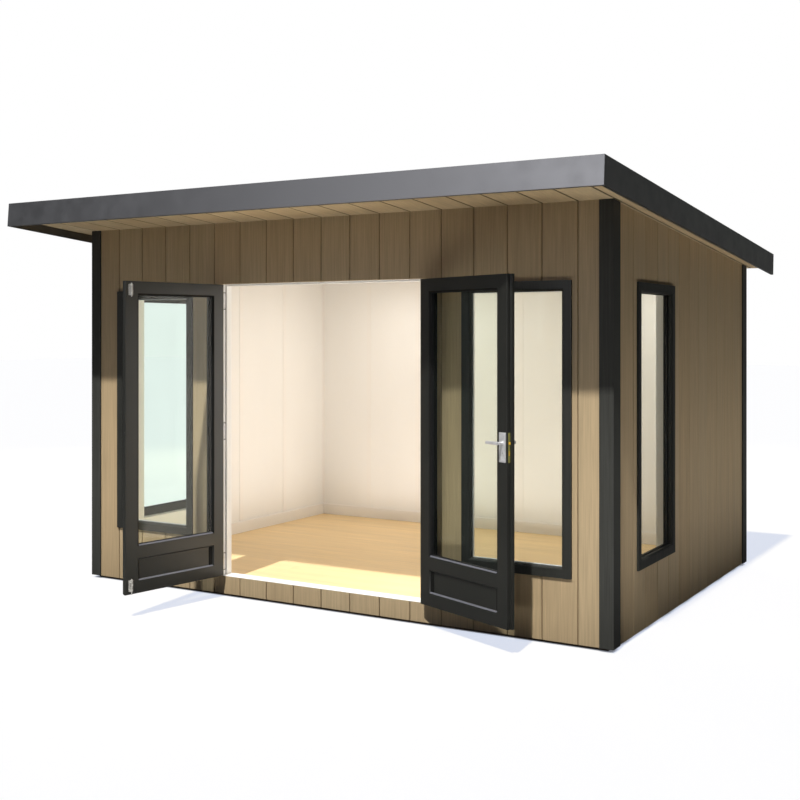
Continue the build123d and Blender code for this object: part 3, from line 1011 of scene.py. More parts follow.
@dataclass
class Finishes:
    """Every finish of the pod, mixed once."""

    cover: float
    made: dict[Coat, Material] = field(default_factory=dict)
    joint_from_end: float = 0.206
    joint_from_window: float = 0.058
    tan: Colour = (0.515, 0.392, 0.235)
    # the soffit's tan, lighter than the walls': partly the boards' own paler colour, partly painted
    # brightness for the light bounced up from the ground
    soffit_tan_with_painted_bounce: Colour = (0.59, 0.455, 0.27)

    def __post_init__(self) -> None:
        """Finds where the boards' joints fall against what stands in the walls."""
        self.front_joint = Box.around("front_cladding_right").high.x - self.joint_from_end
        self.side_joint = Box.around("side_window_frames").low.y - self.joint_from_window

    def mix_all(self) -> None:
        """Mixes every material and keeps it."""
        kinds = {
            Coat.FRONT_BOARDS: BoardFinish(self.tan, Run.SIDEWAYS, self.front_joint, self.cover),
            Coat.SIDE_BOARDS: BoardFinish(self.tan, Run.BACKWARDS, self.side_joint, self.cover),
            Coat.SOFFIT: BoardFinish(
                self.soffit_tan_with_painted_bounce, Run.SIDEWAYS, self.front_joint, self.cover,
                grain_scale=(115.0, 3.2, 115.0), joint_width=0.009, joint_dark=0.3,
            ),
            Coat.TRIM: PaintFinish(tone=(0.056, 0.057, 0.052), shine=1.15),
            Coat.FASCIA: PaintFinish(
                tone=(0.032, 0.033, 0.037), grain_scale=(9.0, 9.0, 9.0), roughness=0.36,
                shine=2.0, uneven=0.03, grain_depth=0.00001,
            ),
            Coat.WINDOW: PaintFinish(tone=(0.030, 0.031, 0.027), shine=1.3),
            Coat.DOOR: PaintFinish(
                tone=(0.020, 0.0205, 0.0175), roughness=0.34, shine=1.55, uneven=0.05,
                grain_depth=0.00001,
            ),
            # painted highlight: pale bluish paint on the strips that lie on the sloped edges under
            # the openings
            Coat.EDGE: PaintFinish(
                tone=(0.125, 0.13, 0.155), roughness=0.4, shine=1.5, uneven=0.05,
            ),
            # near black: the beads' paint, also used for strips that paint the shade in the reveals
            Coat.BEAD: PaintFinish(tone=(0.010, 0.010, 0.009), roughness=0.6, shine=1.2),
            # near black: seals and spacers, also the painted shade outlines round the jamb's hinges
            Coat.GASKET_AND_SHADE: PaintFinish(
                tone=(0.012, 0.012, 0.012), grain_scale=(200.0, 200.0, 200.0), roughness=0.7,
            ),
            Coat.LINING: WhiteFinish(tone=(0.87, 0.85, 0.815), roughness=0.6),
            Coat.STRIP: WhiteFinish(tone=(0.87, 0.84, 0.80), roughness=0.55),
            Coat.FRAME: WhiteFinish(tone=(0.93, 0.925, 0.905), roughness=0.42),
            Coat.OAK: OakFinish(),
            Coat.JOIST: SawnFinish(
                tone=(0.32, 0.21, 0.12), dark=(0.17, 0.10, 0.05),
                grain_scale=(3.0, 120.0, 120.0), flake_scale=60.0,
            ),
            Coat.DECK: SawnFinish(
                tone=(0.56, 0.43, 0.27), dark=(0.33, 0.23, 0.13),
                grain_scale=(25.0, 25.0, 25.0), flake_scale=70.0,
            ),
            Coat.CORE: SawnFinish(
                tone=(0.78, 0.74, 0.62), dark=(0.6, 0.55, 0.42),
                grain_scale=(90.0, 90.0, 90.0), flake_scale=140.0,
            ),
            Coat.MEMBRANE: MembraneFinish(),
            Coat.STEEL: MetalFinish(tone=(0.78, 0.78, 0.80), roughness=0.34),
            Coat.DULL_STEEL: MetalFinish(tone=(0.50, 0.49, 0.46), roughness=0.4),
            Coat.BRASS: MetalFinish(tone=(0.36, 0.34, 0.10), roughness=0.33),
            Coat.GOLD: MetalFinish(tone=(1.0, 0.56, 0.04), roughness=0.3, metallic=0.2),
            Coat.GLASS: GlassFinish(),
            Coat.DOOR_GLASS: GlassFinish(shade=0.84, face_shine=0.012),
        }
        for coat, finish in kinds.items():
            mix = Recipe.material(coat.value)
            finish.fill(mix)
            self.made[coat] = mix.owner

    def dress(self, piece: Piece, coat: Coat) -> None:
        """Gives a piece one of the finishes in place of what it wore."""
        piece.data.materials.clear()
        piece.data.materials.append(self.made[coat])


# ---- sub-assemblies ----
@dataclass
class Assembly:
    """What every sub-assembly has: the finishes, and the pieces that it has filed."""

    finishes: Finishes
    filed: list[Piece] = field(default_factory=list, init=False)

    def file(
        self, piece: Piece, coat: Coat, slot: Slot, *nodes: str, body: Body = Body.POD,
    ) -> None:
        """Dresses a finished piece and files it with the frame.

        Args:
            piece: the finished piece.
            coat: its finish.
            slot: its slot in the record; not used.
            nodes: the frame nodes that it stands for.
            body: the body that it moves with.
        """
        self.finishes.dress(piece, coat)
        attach(piece, body.value)
        if nodes:
            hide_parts(*nodes)
        self.filed.append(piece)


@dataclass(frozen=True)
class BoardRow:
    """One kind of tongued board, and a row of them."""

    cover: float = 0.22
    joint: float = 0.005
    tongue_depth: float = 0.012
    tongue_slack: float = 0.0002
    lip: float = 0.0025

    def lay(self, name: str, low: Vector, high: Vector, joint_line: float) -> Piece:
        """Makes a row of upright boards that look along -Y and are counted along X.

        Args:
            name: the new piece's name.
            low: lowest corner of the row.
            high: highest corner of the row.
            joint_line: x of the middle of any one joint.

        Returns:
            The row, cut to length at both ends.
        """
        start = joint_line + self.joint / 2
        start += math.floor((low.x - start) / self.cover) * self.cover
        face = self.cover - self.joint
        back = low.y + self.tongue_depth
        piece = block(name, (start, back, low.z), (start + face, high.y, high.z))
        extrude(piece, facing((1, 0, 0)), (self.joint - self.tongue_slack, 0, 0))
        shown: Test = lambda middle, normal: normal.y < -SAME_WAY and middle.x < start + face
        extrude(piece, shown, (0, -self.tongue_depth, 0))
        upright = running(Z)
        lips: Test = lambda middle, way: upright(middle, way) and abs(middle.y - low.y) < TINY
        bevel(piece, self.lip, lips)
        repeat(piece, math.ceil((high.x - start) / self.cover), (self.cover, 0, 0))
        slice_off(piece, low, (-1, 0, 0))
        slice_off(piece, high, (1, 0, 0))
        return piece


class Side(Enum):
    """A wall, by the turn in degrees that faces a front-facing shape that way."""

    FRONT = 0
    RIGHT = 90
    BACK = 180
    LEFT = -90

    @property
    def turn(self) -> Matrix:
        """The turn itself."""
        return Matrix.Rotation(math.radians(self.value), 4, "Z")

    def local(self, box: Box) -> Box:
        """A box as it is seen when this side is turned to the front."""
        back = self.turn.inverted()
        return Box.holding((back @ box.low, back @ box.high))


@dataclass
class Cladding(Assembly):
    """The boarded skin of the four walls, with the doorway and windows cut out."""

    roof: RoofPlane
    boards: BoardRow
    window_clearance: float = 0.0005
    stop_thickness: float = 0.012
    threshold_lip: float = 0.003

    def cutters(self, side: Side) -> list[Piece]:
        """Makes the blocks that cut the openings out of one wall.

        Args:
            side: which wall.

        Returns:
            The cutters.
        """
        slack = Vector((self.window_clearance,) * 3)
        pair = Box.around("side_window_frames")
        if side in (Side.LEFT, Side.RIGHT):
            reach = slack + Vector((FAR, 0, 0))
            return [block("cutter", pair.low - reach, pair.high + reach)]
        if side is Side.BACK:
            return []
        width = pair.size.y + 2 * self.window_clearance
        pair = Box.around("front_window_frames")
        low, high = pair.low - slack - Vector((0, BEYOND, 0)), pair.high + slack
        way = Box.around("door_cladding")
        head = Box.around("door_frame_head").low.z + self.stop_thickness
        foot = Box.around("threshold").high.z - self.threshold_lip
        return [
            block("cutter", (way.low.x, way.low.y - BEYOND, foot), (way.high.x, 0, head)),
            block("cutter", low, (low.x + width, high.y, high.z)),
            block("cutter", (high.x - width, low.y, low.z), high),
        ]

    def wall(self, side: Side, name: str, *nodes: str) -> Piece:
        """Boards one wall and cuts its top to the slope.

        Args:
            side: which wall.
            name: the piece's name.
            nodes: the frame nodes that it stands for.

        Returns:
            The boarded wall.
        """
        span = side.local(Box.around(*nodes))
        lengthwise = side in (Side.FRONT, Side.BACK)
        line = self.finishes.front_joint if lengthwise else self.finishes.side_joint
        line = line if side in (Side.FRONT, Side.RIGHT) else -line
        piece = put(self.boards.lay(name, span.low, span.high, line), side.turn)
        slice_off(piece, self.roof.start, self.roof.normal)
        return piece

    def build(self) -> None:
        """Builds, cuts and files the four walls."""
        front_nodes = ("front_cladding_left", "door_cladding", "front_cladding_right")
        for side, coat, nodes in (
            (Side.FRONT, Coat.FRONT_BOARDS, front_nodes),
            (Side.LEFT, Coat.SIDE_BOARDS, ("left_cladding",)),
            (Side.RIGHT, Coat.SIDE_BOARDS, ("right_cladding",)),
            (Side.BACK, Coat.FRONT_BOARDS, ("back_cladding",)),
        ):
            wall = self.wall(side, f"{side.name.lower()}_boards", *nodes)
            cutters = self.cutters(side)
            if cutters:
                carve(wall, *cutters)
            ease(wall, TINY, 1)
            self.file(wall, coat, Slot.CLADDING, *nodes)


@dataclass
class Roof(Assembly):
    """Soffit boards, fascias, the rubber covering and the trims at the corners."""

    roof: RoofPlane
    boards: BoardRow = BoardRow(joint=0.009, tongue_depth=0.0105, lip=0.003)
    sheet_width: float = 1.45
    lap: float = 0.06
    lap_step: float = 0.0012
    lap_ease: float = 0.0004
    ease: float = 0.0015

    def soffit(self) -> None:
        """Lays boards from front to back under the roof and leaves the room open."""
        nodes = ("front_soffit", "side_soffits", "rear_soffit")
        flat = self.roof.flat_box(*nodes)
        low = Vector((flat.low.x, flat.low.z, -flat.high.y))
        high = Vector((flat.high.x, flat.high.z, -flat.low.y))
        piece = self.boards.lay("soffit_boards", low, high, self.finishes.front_joint)
        put(piece, self.roof.matrix @ Matrix.Rotation(math.radians(90), 4, "X"))
        room = Box.around("floor_deck")
        top = (room.high.x, room.high.y, FAR)
        carve(piece, block("cutter", (room.low.x, room.low.y, 0), top))
        ease(piece, TINY, 1)
        self.file(piece, Coat.SOFFIT, Slot.SOFFIT, *nodes)

    def covering(self) -> None:
        """Lays lapped sheets of roofing rubber down the slope."""
        flat = self.roof.flat_box("roof_covering")
        edge = flat.low.x + self.sheet_width
        piece = block("roof_sheets", flat.low, (edge, flat.high.y, flat.high.z))
        extrude(piece, facing((1, 0, 0)), (self.lap, 0, 0))
        laps: Test = lambda middle, normal: middle.x > edge and abs(normal.z) > SAME_WAY
        with editing(piece, Pick.FACES, laps):
            bpy.ops.transform.translate(value=(0, 0, self.lap_step))
        sheets = math.ceil(flat.size.x / self.sheet_width)
        repeat(piece, sheets, (self.sheet_width, 0, 0))
        slice_off(piece, flat.high, (1, 0, 0))
        ease(put(piece, self.roof.matrix), self.lap_ease)
        self.file(piece, Coat.MEMBRANE, Slot.MEMBRANE, "roof_covering")

    def edges(self) -> None:
        """Eases the fascias and the corner trims."""
        for node, name, coat, slot in (
            ("front_fascia", "front_fascia_board", Coat.FASCIA, Slot.FASCIA),
            ("side_fascias", "side_fascia_boards", Coat.FASCIA, Slot.FASCIA),
            ("rear_fascia", "rear_fascia_board", Coat.FASCIA, Slot.FASCIA),
            ("corner_trims", "corner_angles", Coat.TRIM, Slot.TRIM),
        ):
            self.file(ease(rework(node, name), self.ease), coat, slot, node)

    def build(self) -> None:
        """Builds everything over and round the walls."""
        self.soffit()
        self.covering()
        self.edges()


@dataclass(frozen=True)
class SealedUnit:
    """A sealed glass unit in its rebate: two panes, the bar between them, and the seals."""

    seal: float
    seal_width: float
    bar_width: float
    bar_ease: float
    pane: float = 0.004
    play: float = 0.001
    bar_inset: float = 0.003
    pane_ease: float = 0.0005

    def make(self, rebate: Box, front: float, back: float) -> tuple[Piece, Piece, Piece]:
        """Makes the unit in an upright rebate.

        Args:
            rebate: the rebate's outline.
            front: y of the front of the glass.
            back: y of the back of the glass.

        Returns:
            The seals, the panes and the bar between the panes.
        """
        seals = [
            frame_ring("seal", *rebate.slab(y, y + self.seal, TINY), self.seal_width)
            for y in (front - self.seal, back)
        ]
        panes = [
            ease(
                block("pane", *rebate.slab(y, y + self.pane, self.play)), self.pane_ease, 1,
            )
            for y in (front, back - self.pane)
        ]
        between = rebate.slab(front + self.pane, back - self.pane, self.bar_inset)
        bar = frame_ring("spacer", *between, self.bar_width)
        if self.bar_ease:
            ease(bar, self.bar_ease, 1)
        return join("seals", *seals), join("panes", *panes), bar


@dataclass
class Windows(Assembly):
    """Four fixed windows of one size: frame, beads, seals and a sealed glass unit."""

    unit: SealedUnit = SealedUnit(seal=0.002, seal_width=0.0115, bar_width=0.012, bar_ease=0.0008)
    face: float = 0.060
    cover: float = 0.010
    recess: float = 0.029
    glass_thickness: float = 0.024
    bead_slope: float = 0.008
    bead_set_back: float = 0.002
    ease: float = 0.0015

    def parts(self, size: Vector) -> dict[str, Piece]:
        """Makes one window that looks along -Y, its outer lower left corner at the origin.

        Args:
            size: the frame's width, depth and height.

        Returns:
            Its pieces by name.
        """
        outside = Box(Vector((0, 0, 0)), size)
        rebate = Box(*outside.slab(0, size.y, self.face - self.cover))
        sight = Box(*outside.slab(0, size.y, self.face))
        back = self.recess + self.glass_thickness
        bead_width = self.cover + TINY
        bead_back = size.y - self.bead_set_back
        ring = frame_ring("frame", outside.low, outside.high, self.face - self.cover)
        lip_slab = rebate.slab(self.bead_set_back, self.recess - self.unit.seal, -TINY)
        lip = frame_ring("lip", *lip_slab, bead_width, self.bead_slope)
        bead_slab = rebate.slab(back + self.unit.seal, bead_back, -TINY)
        bead = frame_ring("bead", *bead_slab, bead_width)
        bevel(bead, self.bead_slope, rim(sight, bead_back))
        frames = [ease(part, self.ease) for part in (ring, lip, bead)]
        seals, panes, bar = self.unit.make(rebate, self.recess, back)
        return {
            "window_frames": join("frames", *frames),
            "window_seals": seals,
            "window_panes": panes,
            "window_spacers": bar,
        }

    def build(self) -> None:
        """Builds one window, copies it to its four places and files the pieces."""
        front, side = Box.around("front_window_frames"), Box.around("side_window_frames")
        size = Vector((side.size.y, front.size.y, front.size.z))
        (left, depth, foot), low_z = front.low, side.low.z
        rows = {
            "front": [
                (left, depth, foot, Side.FRONT), (front.high.x - size.x, depth, foot, Side.FRONT),
            ],
            "side": [
                (side.high.x, side.low.y, low_z, Side.RIGHT),
                (side.low.x, side.high.y, low_z, Side.LEFT),
            ],
        }
        wears = {
            "window_frames": (Coat.WINDOW, Slot.WINDOW_PAINT),
            "window_seals": (Coat.GASKET_AND_SHADE, Slot.WINDOW_PAINT),
            "window_spacers": (Coat.STEEL, Slot.METAL),
        }
        all_panes = []
        for key, part in self.parts(size).items():
            for row, spots in rows.items():
                placed = [
                    put(twin(part), Matrix.Translation(spot) @ wall.turn) for *spot, wall in spots
                ]
                name = f"{row}_{key}"
                piece = join(name, *placed)
                if key not in wears:
                    all_panes.append(piece)
                    continue
                coat, slot = wears[key]
                if name == "side_window_spacers":
                    coat = Coat.GASKET_AND_SHADE
                nodes = [name] if key == "window_frames" else []
                self.file(piece, coat, slot, *nodes)
            bpy.data.objects.remove(part)
        panes = join("window_panes", *all_panes)
        self.file(panes, Coat.GLASS, Slot.GLASS, "window_glass")


class Hand(Enum):
    """Which side a leaf hangs on."""

    LEFT = "left"
    RIGHT = "right"


@dataclass
class Screws:
    """The cross-headed screw that the ironmongery shares."""

    radius: float = 0.0036
    height: float = 0.0009
    slot_width: float = 0.0009
    slot_share: float = 0.6
    rim_share: float = 0.6
    pattern: Piece | None = None

    def make(self) -> Piece:
        """Makes the pattern that every screw is copied from.

        Returns:
            One head that faces up, its underside at the origin.
        """
        head = rod("screw", (0, 0, 0), (0, 0, self.height), self.radius, SMALL_ROD)
        top: Test = lambda middle, way: middle.z > self.height - TINY
        bevel(head, self.height * self.rim_share, top)
        reach = self.radius * self.slot_share
        for x, y in ((reach, self.slot_width), (self.slot_width, reach)):
            carve(head, block("cutter", (-x, -y, self.height / 2), (x, y, BEYOND)))
        return head

    def drive(self, at: Point, way: Point) -> Piece:
        """Copies the screw head to a place.

        Args:
            at: where the head's underside meets the plate.
            way: the way that the head faces.

        Returns:
            The screw head.
        """
        if self.pattern is None:
            self.pattern = self.make()
        turn = Vector(way).to_track_quat("Z", "Y").to_matrix().to_4x4()
        return put(twin(self.pattern), Matrix.Translation(Vector(at)) @ turn)

    def put_away(self) -> None:
        """Removes the pattern once every copy is made."""
        bpy.data.objects.remove(self.pattern)
        self.pattern = None


@dataclass
class Leaf(Assembly):
    """One glazed door leaf, modelled shut at the left-hand jamb and then hung open."""

    hand: Hand
    unit: SealedUnit = SealedUnit(seal=0.0015, seal_width=0.012, bar_width=0.010, bar_ease=0.0)
    thickness: float = 0.044
    gap: float = 0.005
    stile: float = 0.092
    top_rail: float = 0.086
    mid_rail: float = 0.095
    bottom_rail: float = 0.087
    panel_height: float = 0.123
    panel_thickness: float = 0.020
    glass_thickness: float = 0.020
    cover: float = 0.010
    chamfer: float = 0.008
    rebate: float = 0.012
    backset: float = 0.0375
    spindle_hole: float = 0.008
    # widths of the near-black strips that paint shade in the reveals, beside the glass and at the
    # panel's sides
    glass_shade_strip: float = 0.022
    panel_shade_strip: float = 0.026
    far_panel_shade_strip: float = 0.0065
    # slope and thinness of the painted highlight strips
    highlight_turn: float = -45.0
    highlight_skin: float = 0.0004
    pocket_depth: float = 0.0135
    pocket_width: float = 0.013
    pocket_height: float = 0.025
    pocket_reach: float = 0.024
    ease: float = 0.0015
    bead_ease: float = 0.0008

    def __post_init__(self) -> None:
        """Works out the leaf's edges, shut, from the frame."""
        side = self.hand.value
        node = Box.around(f"{side}_door_leaf")
        joint = joint_named(f"{side}_door_hinge")
        self.body = Body(f"{side}_door")
        self.pivot = Vector(joint["pos_m"])
        self.axis = Vector(joint["axis"])
        self.opened = -math.radians(joint["range_deg"][0])
        self.front = Box.around("door_cladding").low.y
        self.back = self.front + self.thickness
        self.bottom, self.top = node.low.z, node.high.z
        self.hinge_edge = self.gap - Box.around("door_cladding").high.x
        self.meeting = -self.gap / 2 - self.rebate / 2
        self.tongue = (self.thickness - self.gap) / 2
        self.recess = (self.thickness - self.panel_thickness) / 2
        left, right = self.hinge_edge + self.stile, self.meeting - self.stile
        panel_low = self.bottom + self.bottom_rail
        panel_top = panel_low + self.panel_height
        glass_low, glass_top = panel_top + self.mid_rail, self.top - self.top_rail
        self.panel, self.sight = (
            Box(Vector((left, self.front, low)), Vector((right, self.back, top)))
            for low, top in ((panel_low, panel_top), (glass_low, glass_top))
        )
        self.opening = Box(*self.sight.slab(self.front, self.back, -self.cover))
        self.spindle_x = self.meeting - self.backset
        self.spindle_z = joint_named("handle_turn")["pos_m"][Z]

    def hang(self, piece: Piece) -> Piece:
        """Mirrors a piece for a right-hand leaf, then swings it open to where it stands.

        Args:
            piece: the piece, made for a shut left-hand leaf.

        Returns:
            The same piece.
        """
        if self.hand is Hand.RIGHT:
            mirror(piece)
        turn = Matrix.Rotation(self.opened, 4, self.axis)
        about = Matrix.Translation(self.pivot)
        return put(piece, about @ turn @ about.inverted())

    def lock_cutter(self, step: float) -> Piece:
        """Makes what cuts the left leaf's latch pocket, or bores the right leaf for the lock.

        Args:
            step: y of the rebate's step.

        Returns:
            The cutter.
        """
        if self.hand is Hand.RIGHT:
            start = (self.spindle_x, self.front - self.gap, self.spindle_z)
            end = (self.spindle_x, self.back + self.gap, self.spindle_z)
            return rod("cutter", start, end, self.spindle_hole)
        half = self.pocket_height / 2
        low = (self.meeting - self.pocket_depth, step - self.gap, self.spindle_z - half)
        high_x = self.meeting + self.pocket_reach
        return block("cutter", low, (high_x, step + self.pocket_width, self.spindle_z + half))

    def timber(self) -> Piece:
        """Makes stiles, rails and bottom panel in one, with the glass opening cut through.

        Returns:
            The timber of the shut leaf.
        """
        piece = block(
            "leaf", (self.hinge_edge, self.front, self.bottom), (self.meeting, self.back, self.top),
        )
        opening, sight, panel = self.opening, self.sight, self.panel
        for x in (opening.low.x, sight.low.x, sight.high.x, opening.high.x):
            score(piece, X, x)
        for z in (panel.low.z, panel.high.z, opening.low.z, opening.high.z):
            score(piece, Z, z)
        left_leaf = self.hand is Hand.LEFT
        step = self.back - self.tongue if left_leaf else self.front + self.tongue
        score(piece, Y, step)
        with editing(piece, Pick.FACES, within(opening)):
            bpy.ops.mesh.dissolve_faces()
        bridge(piece, within(opening))
        in_panel = within(panel)
        for way in (-1, 1):
            faces: Test = lambda middle, normal: in_panel(middle, normal) and normal.y * way > 0
            extrude(piece, faces, (0, -way * self.recess, 0))
        bevel(piece, self.chamfer, rim(panel, self.front, self.back))

        def meeting_half(middle: Vector, normal: Vector) -> bool:
            """Picks the half of the meeting edge that carries the rebate's tongue."""
            half = middle.y > step if left_leaf else middle.y < step
            return normal.x > SAME_WAY and half and middle.x > self.meeting - TINY

        extrude(piece, meeting_half, (self.rebate, 0, 0))
        carve(piece, self.lock_cutter(step))
        return ease(piece, self.ease)

    def beads(self, glass_front: float, glass_back: float) -> Piece:
        """Makes the beads round the glass, and near-black upright strips beside the glass and at
        the panel's sides that paint the shade in their reveals.

        Args:
            glass_front: y of the front of the glass.
            glass_back: y of the back of the glass.

        Returns:
            The beads and the painted shade strips in one.
        """
        seal, width = self.unit.seal, self.cover + TINY
        bead_back = glass_front - seal
        front_slab = self.opening.slab(self.front, bead_back, -TINY)
        outer = frame_ring("bead", *front_slab, width, self.chamfer)
        inner = frame_ring("bead", *self.opening.slab(glass_back + seal, self.back, -TINY), width)
        bevel(inner, self.chamfer, rim(self.sight, self.back))
        parts = [outer, inner]
        # painted shade: near-black upright strips at the sides of the glass and of the panel, where
        # the reveals lie in shade
        for box, skin, y0, y1, widths in (
            (
                self.sight, TINY, self.front + self.chamfer / 2, bead_back,
                (self.glass_shade_strip, self.glass_shade_strip),
            ),
            (
                self.panel, -TINY, self.back - self.recess - TINY,
                self.back - self.chamfer - TINY, (self.panel_shade_strip, self.far_panel_shade_strip),
            ),
        ):
            low, high = box.slab(y0, y1, -skin)
            parts.append(block("bead", low, (box.low.x + widths[0], y1, high.z)))
            parts.append(block("bead", (box.high.x - widths[1], y0, low.z), high))
        return join("beads", *[ease(part, self.bead_ease) for part in parts])

    def sill_highlight_strip(self, z: float) -> Piece:
        """Makes the slim strip on the sloped edge under an opening, painted pale bluish as a
        highlight.

        Args:
            z: height of the bottom of the opening.

        Returns:
            The strip, on the inner face.
        """
        half = self.chamfer / math.sqrt(2)
        strip = block(
            "strip", (self.sight.low.x, -half, -self.highlight_skin),
            (self.sight.high.x, half, self.highlight_skin),
        )
        middle = Vector((0, self.back - self.chamfer / 2, z - self.chamfer / 2))
        slope = Matrix.Rotation(math.radians(self.highlight_turn), 4, "X")
        return put(strip, Matrix.Translation(middle) @ slope)

    def build(self) -> None:
        """Builds the leaf, hangs it and files its pieces."""
        side = self.hand.value
        timber = self.timber()
        middle = (self.front + self.back) / 2
        glass_front = middle - self.glass_thickness / 2
        glass_back = middle + self.glass_thickness / 2
        beads = self.beads(glass_front, glass_back)
        seals, panes, bar = self.unit.make(self.opening, glass_front, glass_back)
        # painted highlight strips on the sloped edges under the panel and the glass
        highlight_pieces = [self.sill_highlight_strip(box.low.z) for box in (self.panel, self.sight)]
        strips = join("strips", *highlight_pieces)
        for piece, name, coat, slot, nodes in (
            (timber, "leaf", Coat.DOOR, Slot.DOOR_PAINT, [f"{side}_door_leaf"]),
            # the beads also hold the painted shade strips
            (beads, "beads", Coat.BEAD, Slot.DOOR_PAINT, []),
            (seals, "door_seals", Coat.GASKET_AND_SHADE, Slot.DOOR_PAINT, []),
            (panes, "door_panes", Coat.DOOR_GLASS, Slot.GLASS, [f"{side}_door_glass"]),
            (bar, "door_spacer", Coat.GASKET_AND_SHADE, Slot.DOOR_PAINT, []),
            (strips, "sill_strips", Coat.EDGE, Slot.DOOR_PAINT, []),
        ):
            named(self.hang(piece), f"{side}_{name}")
            self.file(piece, coat, slot, *nodes, body=self.body)


@dataclass
class Hinges(Assembly):
    """Three butt hinges a side, each half with the body that it is screwed to."""

    screws: Screws
    leaves: tuple[Leaf, Leaf]
    height: float = 0.108
    reach: float = 0.040
    jamb_reach: float = 0.048
    # how far the painted shade outline reaches past a jamb plate, and how thin it is
    shade_outline_width: float = 0.005
    shade_outline_skin: float = 0.0006
    plate: float = 0.002
    plate_ease: float = 0.0003
    corner: float = 0.007
    knuckle: float = 0.006
    knuckle_gap: float = 0.0005
    knuckle_ease: float = 0.0006
    screw_inset: float = 0.009
    screw_rise: float = 0.0135
    screw_sunk: float = 0.0006
    tip_radius: float = 0.0045
    tip_height: float = 0.004
    tip_ease: float = 0.0015

    def levels(self) -> Triple:
        """Finds the heights of the middles of the three hinges.

        Returns:
            The heights, lowest first.
        """
        box = Box.around("door_frame_hinges")
        low, high = box.low.z + self.height / 2, box.high.z - self.height / 2
        return (low, (low + high) / 2, high)

    def half(self, leaf: Leaf, level: float, on_leaf: bool) -> Piece:
        """Makes one half of a hinge, with the left-hand leaf shut.

        Args:
            leaf: the leaf that the hinge carries.
            level: height of its middle.
            on_leaf: true for the leaf's half, false for the jamb's.

        Returns:
            Plate, knuckles and screws in one.
        """
        bottom, top = level - self.height / 2, level + self.height / 2
        third = self.height / 3
        jamb_face = leaf.hinge_edge - leaf.gap
        pin_x, pin_y = -abs(leaf.pivot.x), leaf.pivot.y
        start = pin_y + self.knuckle + self.knuckle_gap
        end = leaf.front + (self.reach if on_leaf else self.jamb_reach)
        if on_leaf:
            x0, x1, way = leaf.hinge_edge - self.plate, leaf.hinge_edge, -1
            knuckles = [(bottom + third + self.knuckle_gap, top - third - self.knuckle_gap)]
        else:
            x0, x1, way = jamb_face, jamb_face + self.plate, 1
            knuckles = [(bottom, bottom + third), (top - third, top)]
        plate = block("plate", (x0, start, bottom), (x1, end, top))
        sideways = running(X)
        corners: Test = lambda middle, along: sideways(middle, along) and middle.y > end - TINY
        bevel(plate, self.corner, corners, CORNER_FACETS)
        parts = [ease(plate, self.plate_ease, 1)]
        for z0, z1 in knuckles:
            tab = block("tab", (x0, pin_y, z0), (x1, start + TINY, z1))
            barrel = rod("barrel", (pin_x, pin_y, z0), (pin_x, pin_y, z1), self.knuckle)
            parts += [tab, ease(barrel, self.knuckle_ease)]
            if on_leaf:
                arm_high = (x1, pin_y + self.plate, z1)
                parts.append(block("arm", (pin_x, pin_y, z0), arm_high))
        tips = [] if on_leaf else [(bottom, bottom - self.tip_height), (top, top + self.tip_height)]
        for z0, z1 in tips:
            tip = rod("tip", (pin_x, pin_y, z0), (pin_x, pin_y, z1), self.tip_radius, SMALL_ROD)
            parts.append(ease(tip, self.tip_ease))
        face = (x1 if way > 0 else x0) - way * self.screw_sunk
        for z in (bottom + self.screw_rise, top - self.screw_rise):
            for y in (start + self.screw_inset, end - self.screw_inset):
                parts.append(self.screws.drive((face, y, z), (way, 0, 0)))
        return join("hinge_half", *parts)

    def recess(self, leaf: Leaf, level: float) -> Piece:
        """Makes the near-black plate round a jamb's hinge plate, a painted shade outline.

        Args:
            leaf: the leaf that the hinge carries.
            level: height of the hinge's middle.

        Returns:
            A slim plate a little larger than the hinge's.
        """
        face = leaf.hinge_edge - leaf.gap
        half = self.height / 2 + self.shade_outline_width
        end = leaf.front + self.jamb_reach + self.shade_outline_width
        gap = block(
            "gap", (face, leaf.pivot.y + self.knuckle, level - half),
            (face + self.shade_outline_skin, end, level + half),
        )
        return mirror(gap) if leaf.hand is Hand.RIGHT else gap

    def build(self) -> None:
        """Builds the halves for both leaves and files them with their bodies."""
        # painted shade: near-black outlines round the jamb halves of the hinges
        shade_outlines = [self.recess(leaf, level) for leaf in self.leaves for level in self.levels()]
        self.file(join("hinge_gaps", *shade_outlines), Coat.GASKET_AND_SHADE, Slot.DOOR_PAINT)
        frame_halves = []
        for leaf in self.leaves:
            leaf_halves = []
            for level in self.levels():
                leaf_halves.append(leaf.hang(self.half(leaf, level, True)))
                jamb_half = self.half(leaf, level, False)
                if leaf.hand is Hand.RIGHT:
                    mirror(jamb_half)
                frame_halves.append(jamb_half)
            side = leaf.hand.value
            piece = join(f"{side}_leaf_hinges", *leaf_halves)
            self.file(piece, Coat.STEEL, Slot.METAL, f"{side}_door_hinges", body=leaf.body)
        jamb_piece = join("jamb_hinges", *frame_halves)
        self.file(jamb_piece, Coat.STEEL, Slot.METAL, "door_frame_hinges")


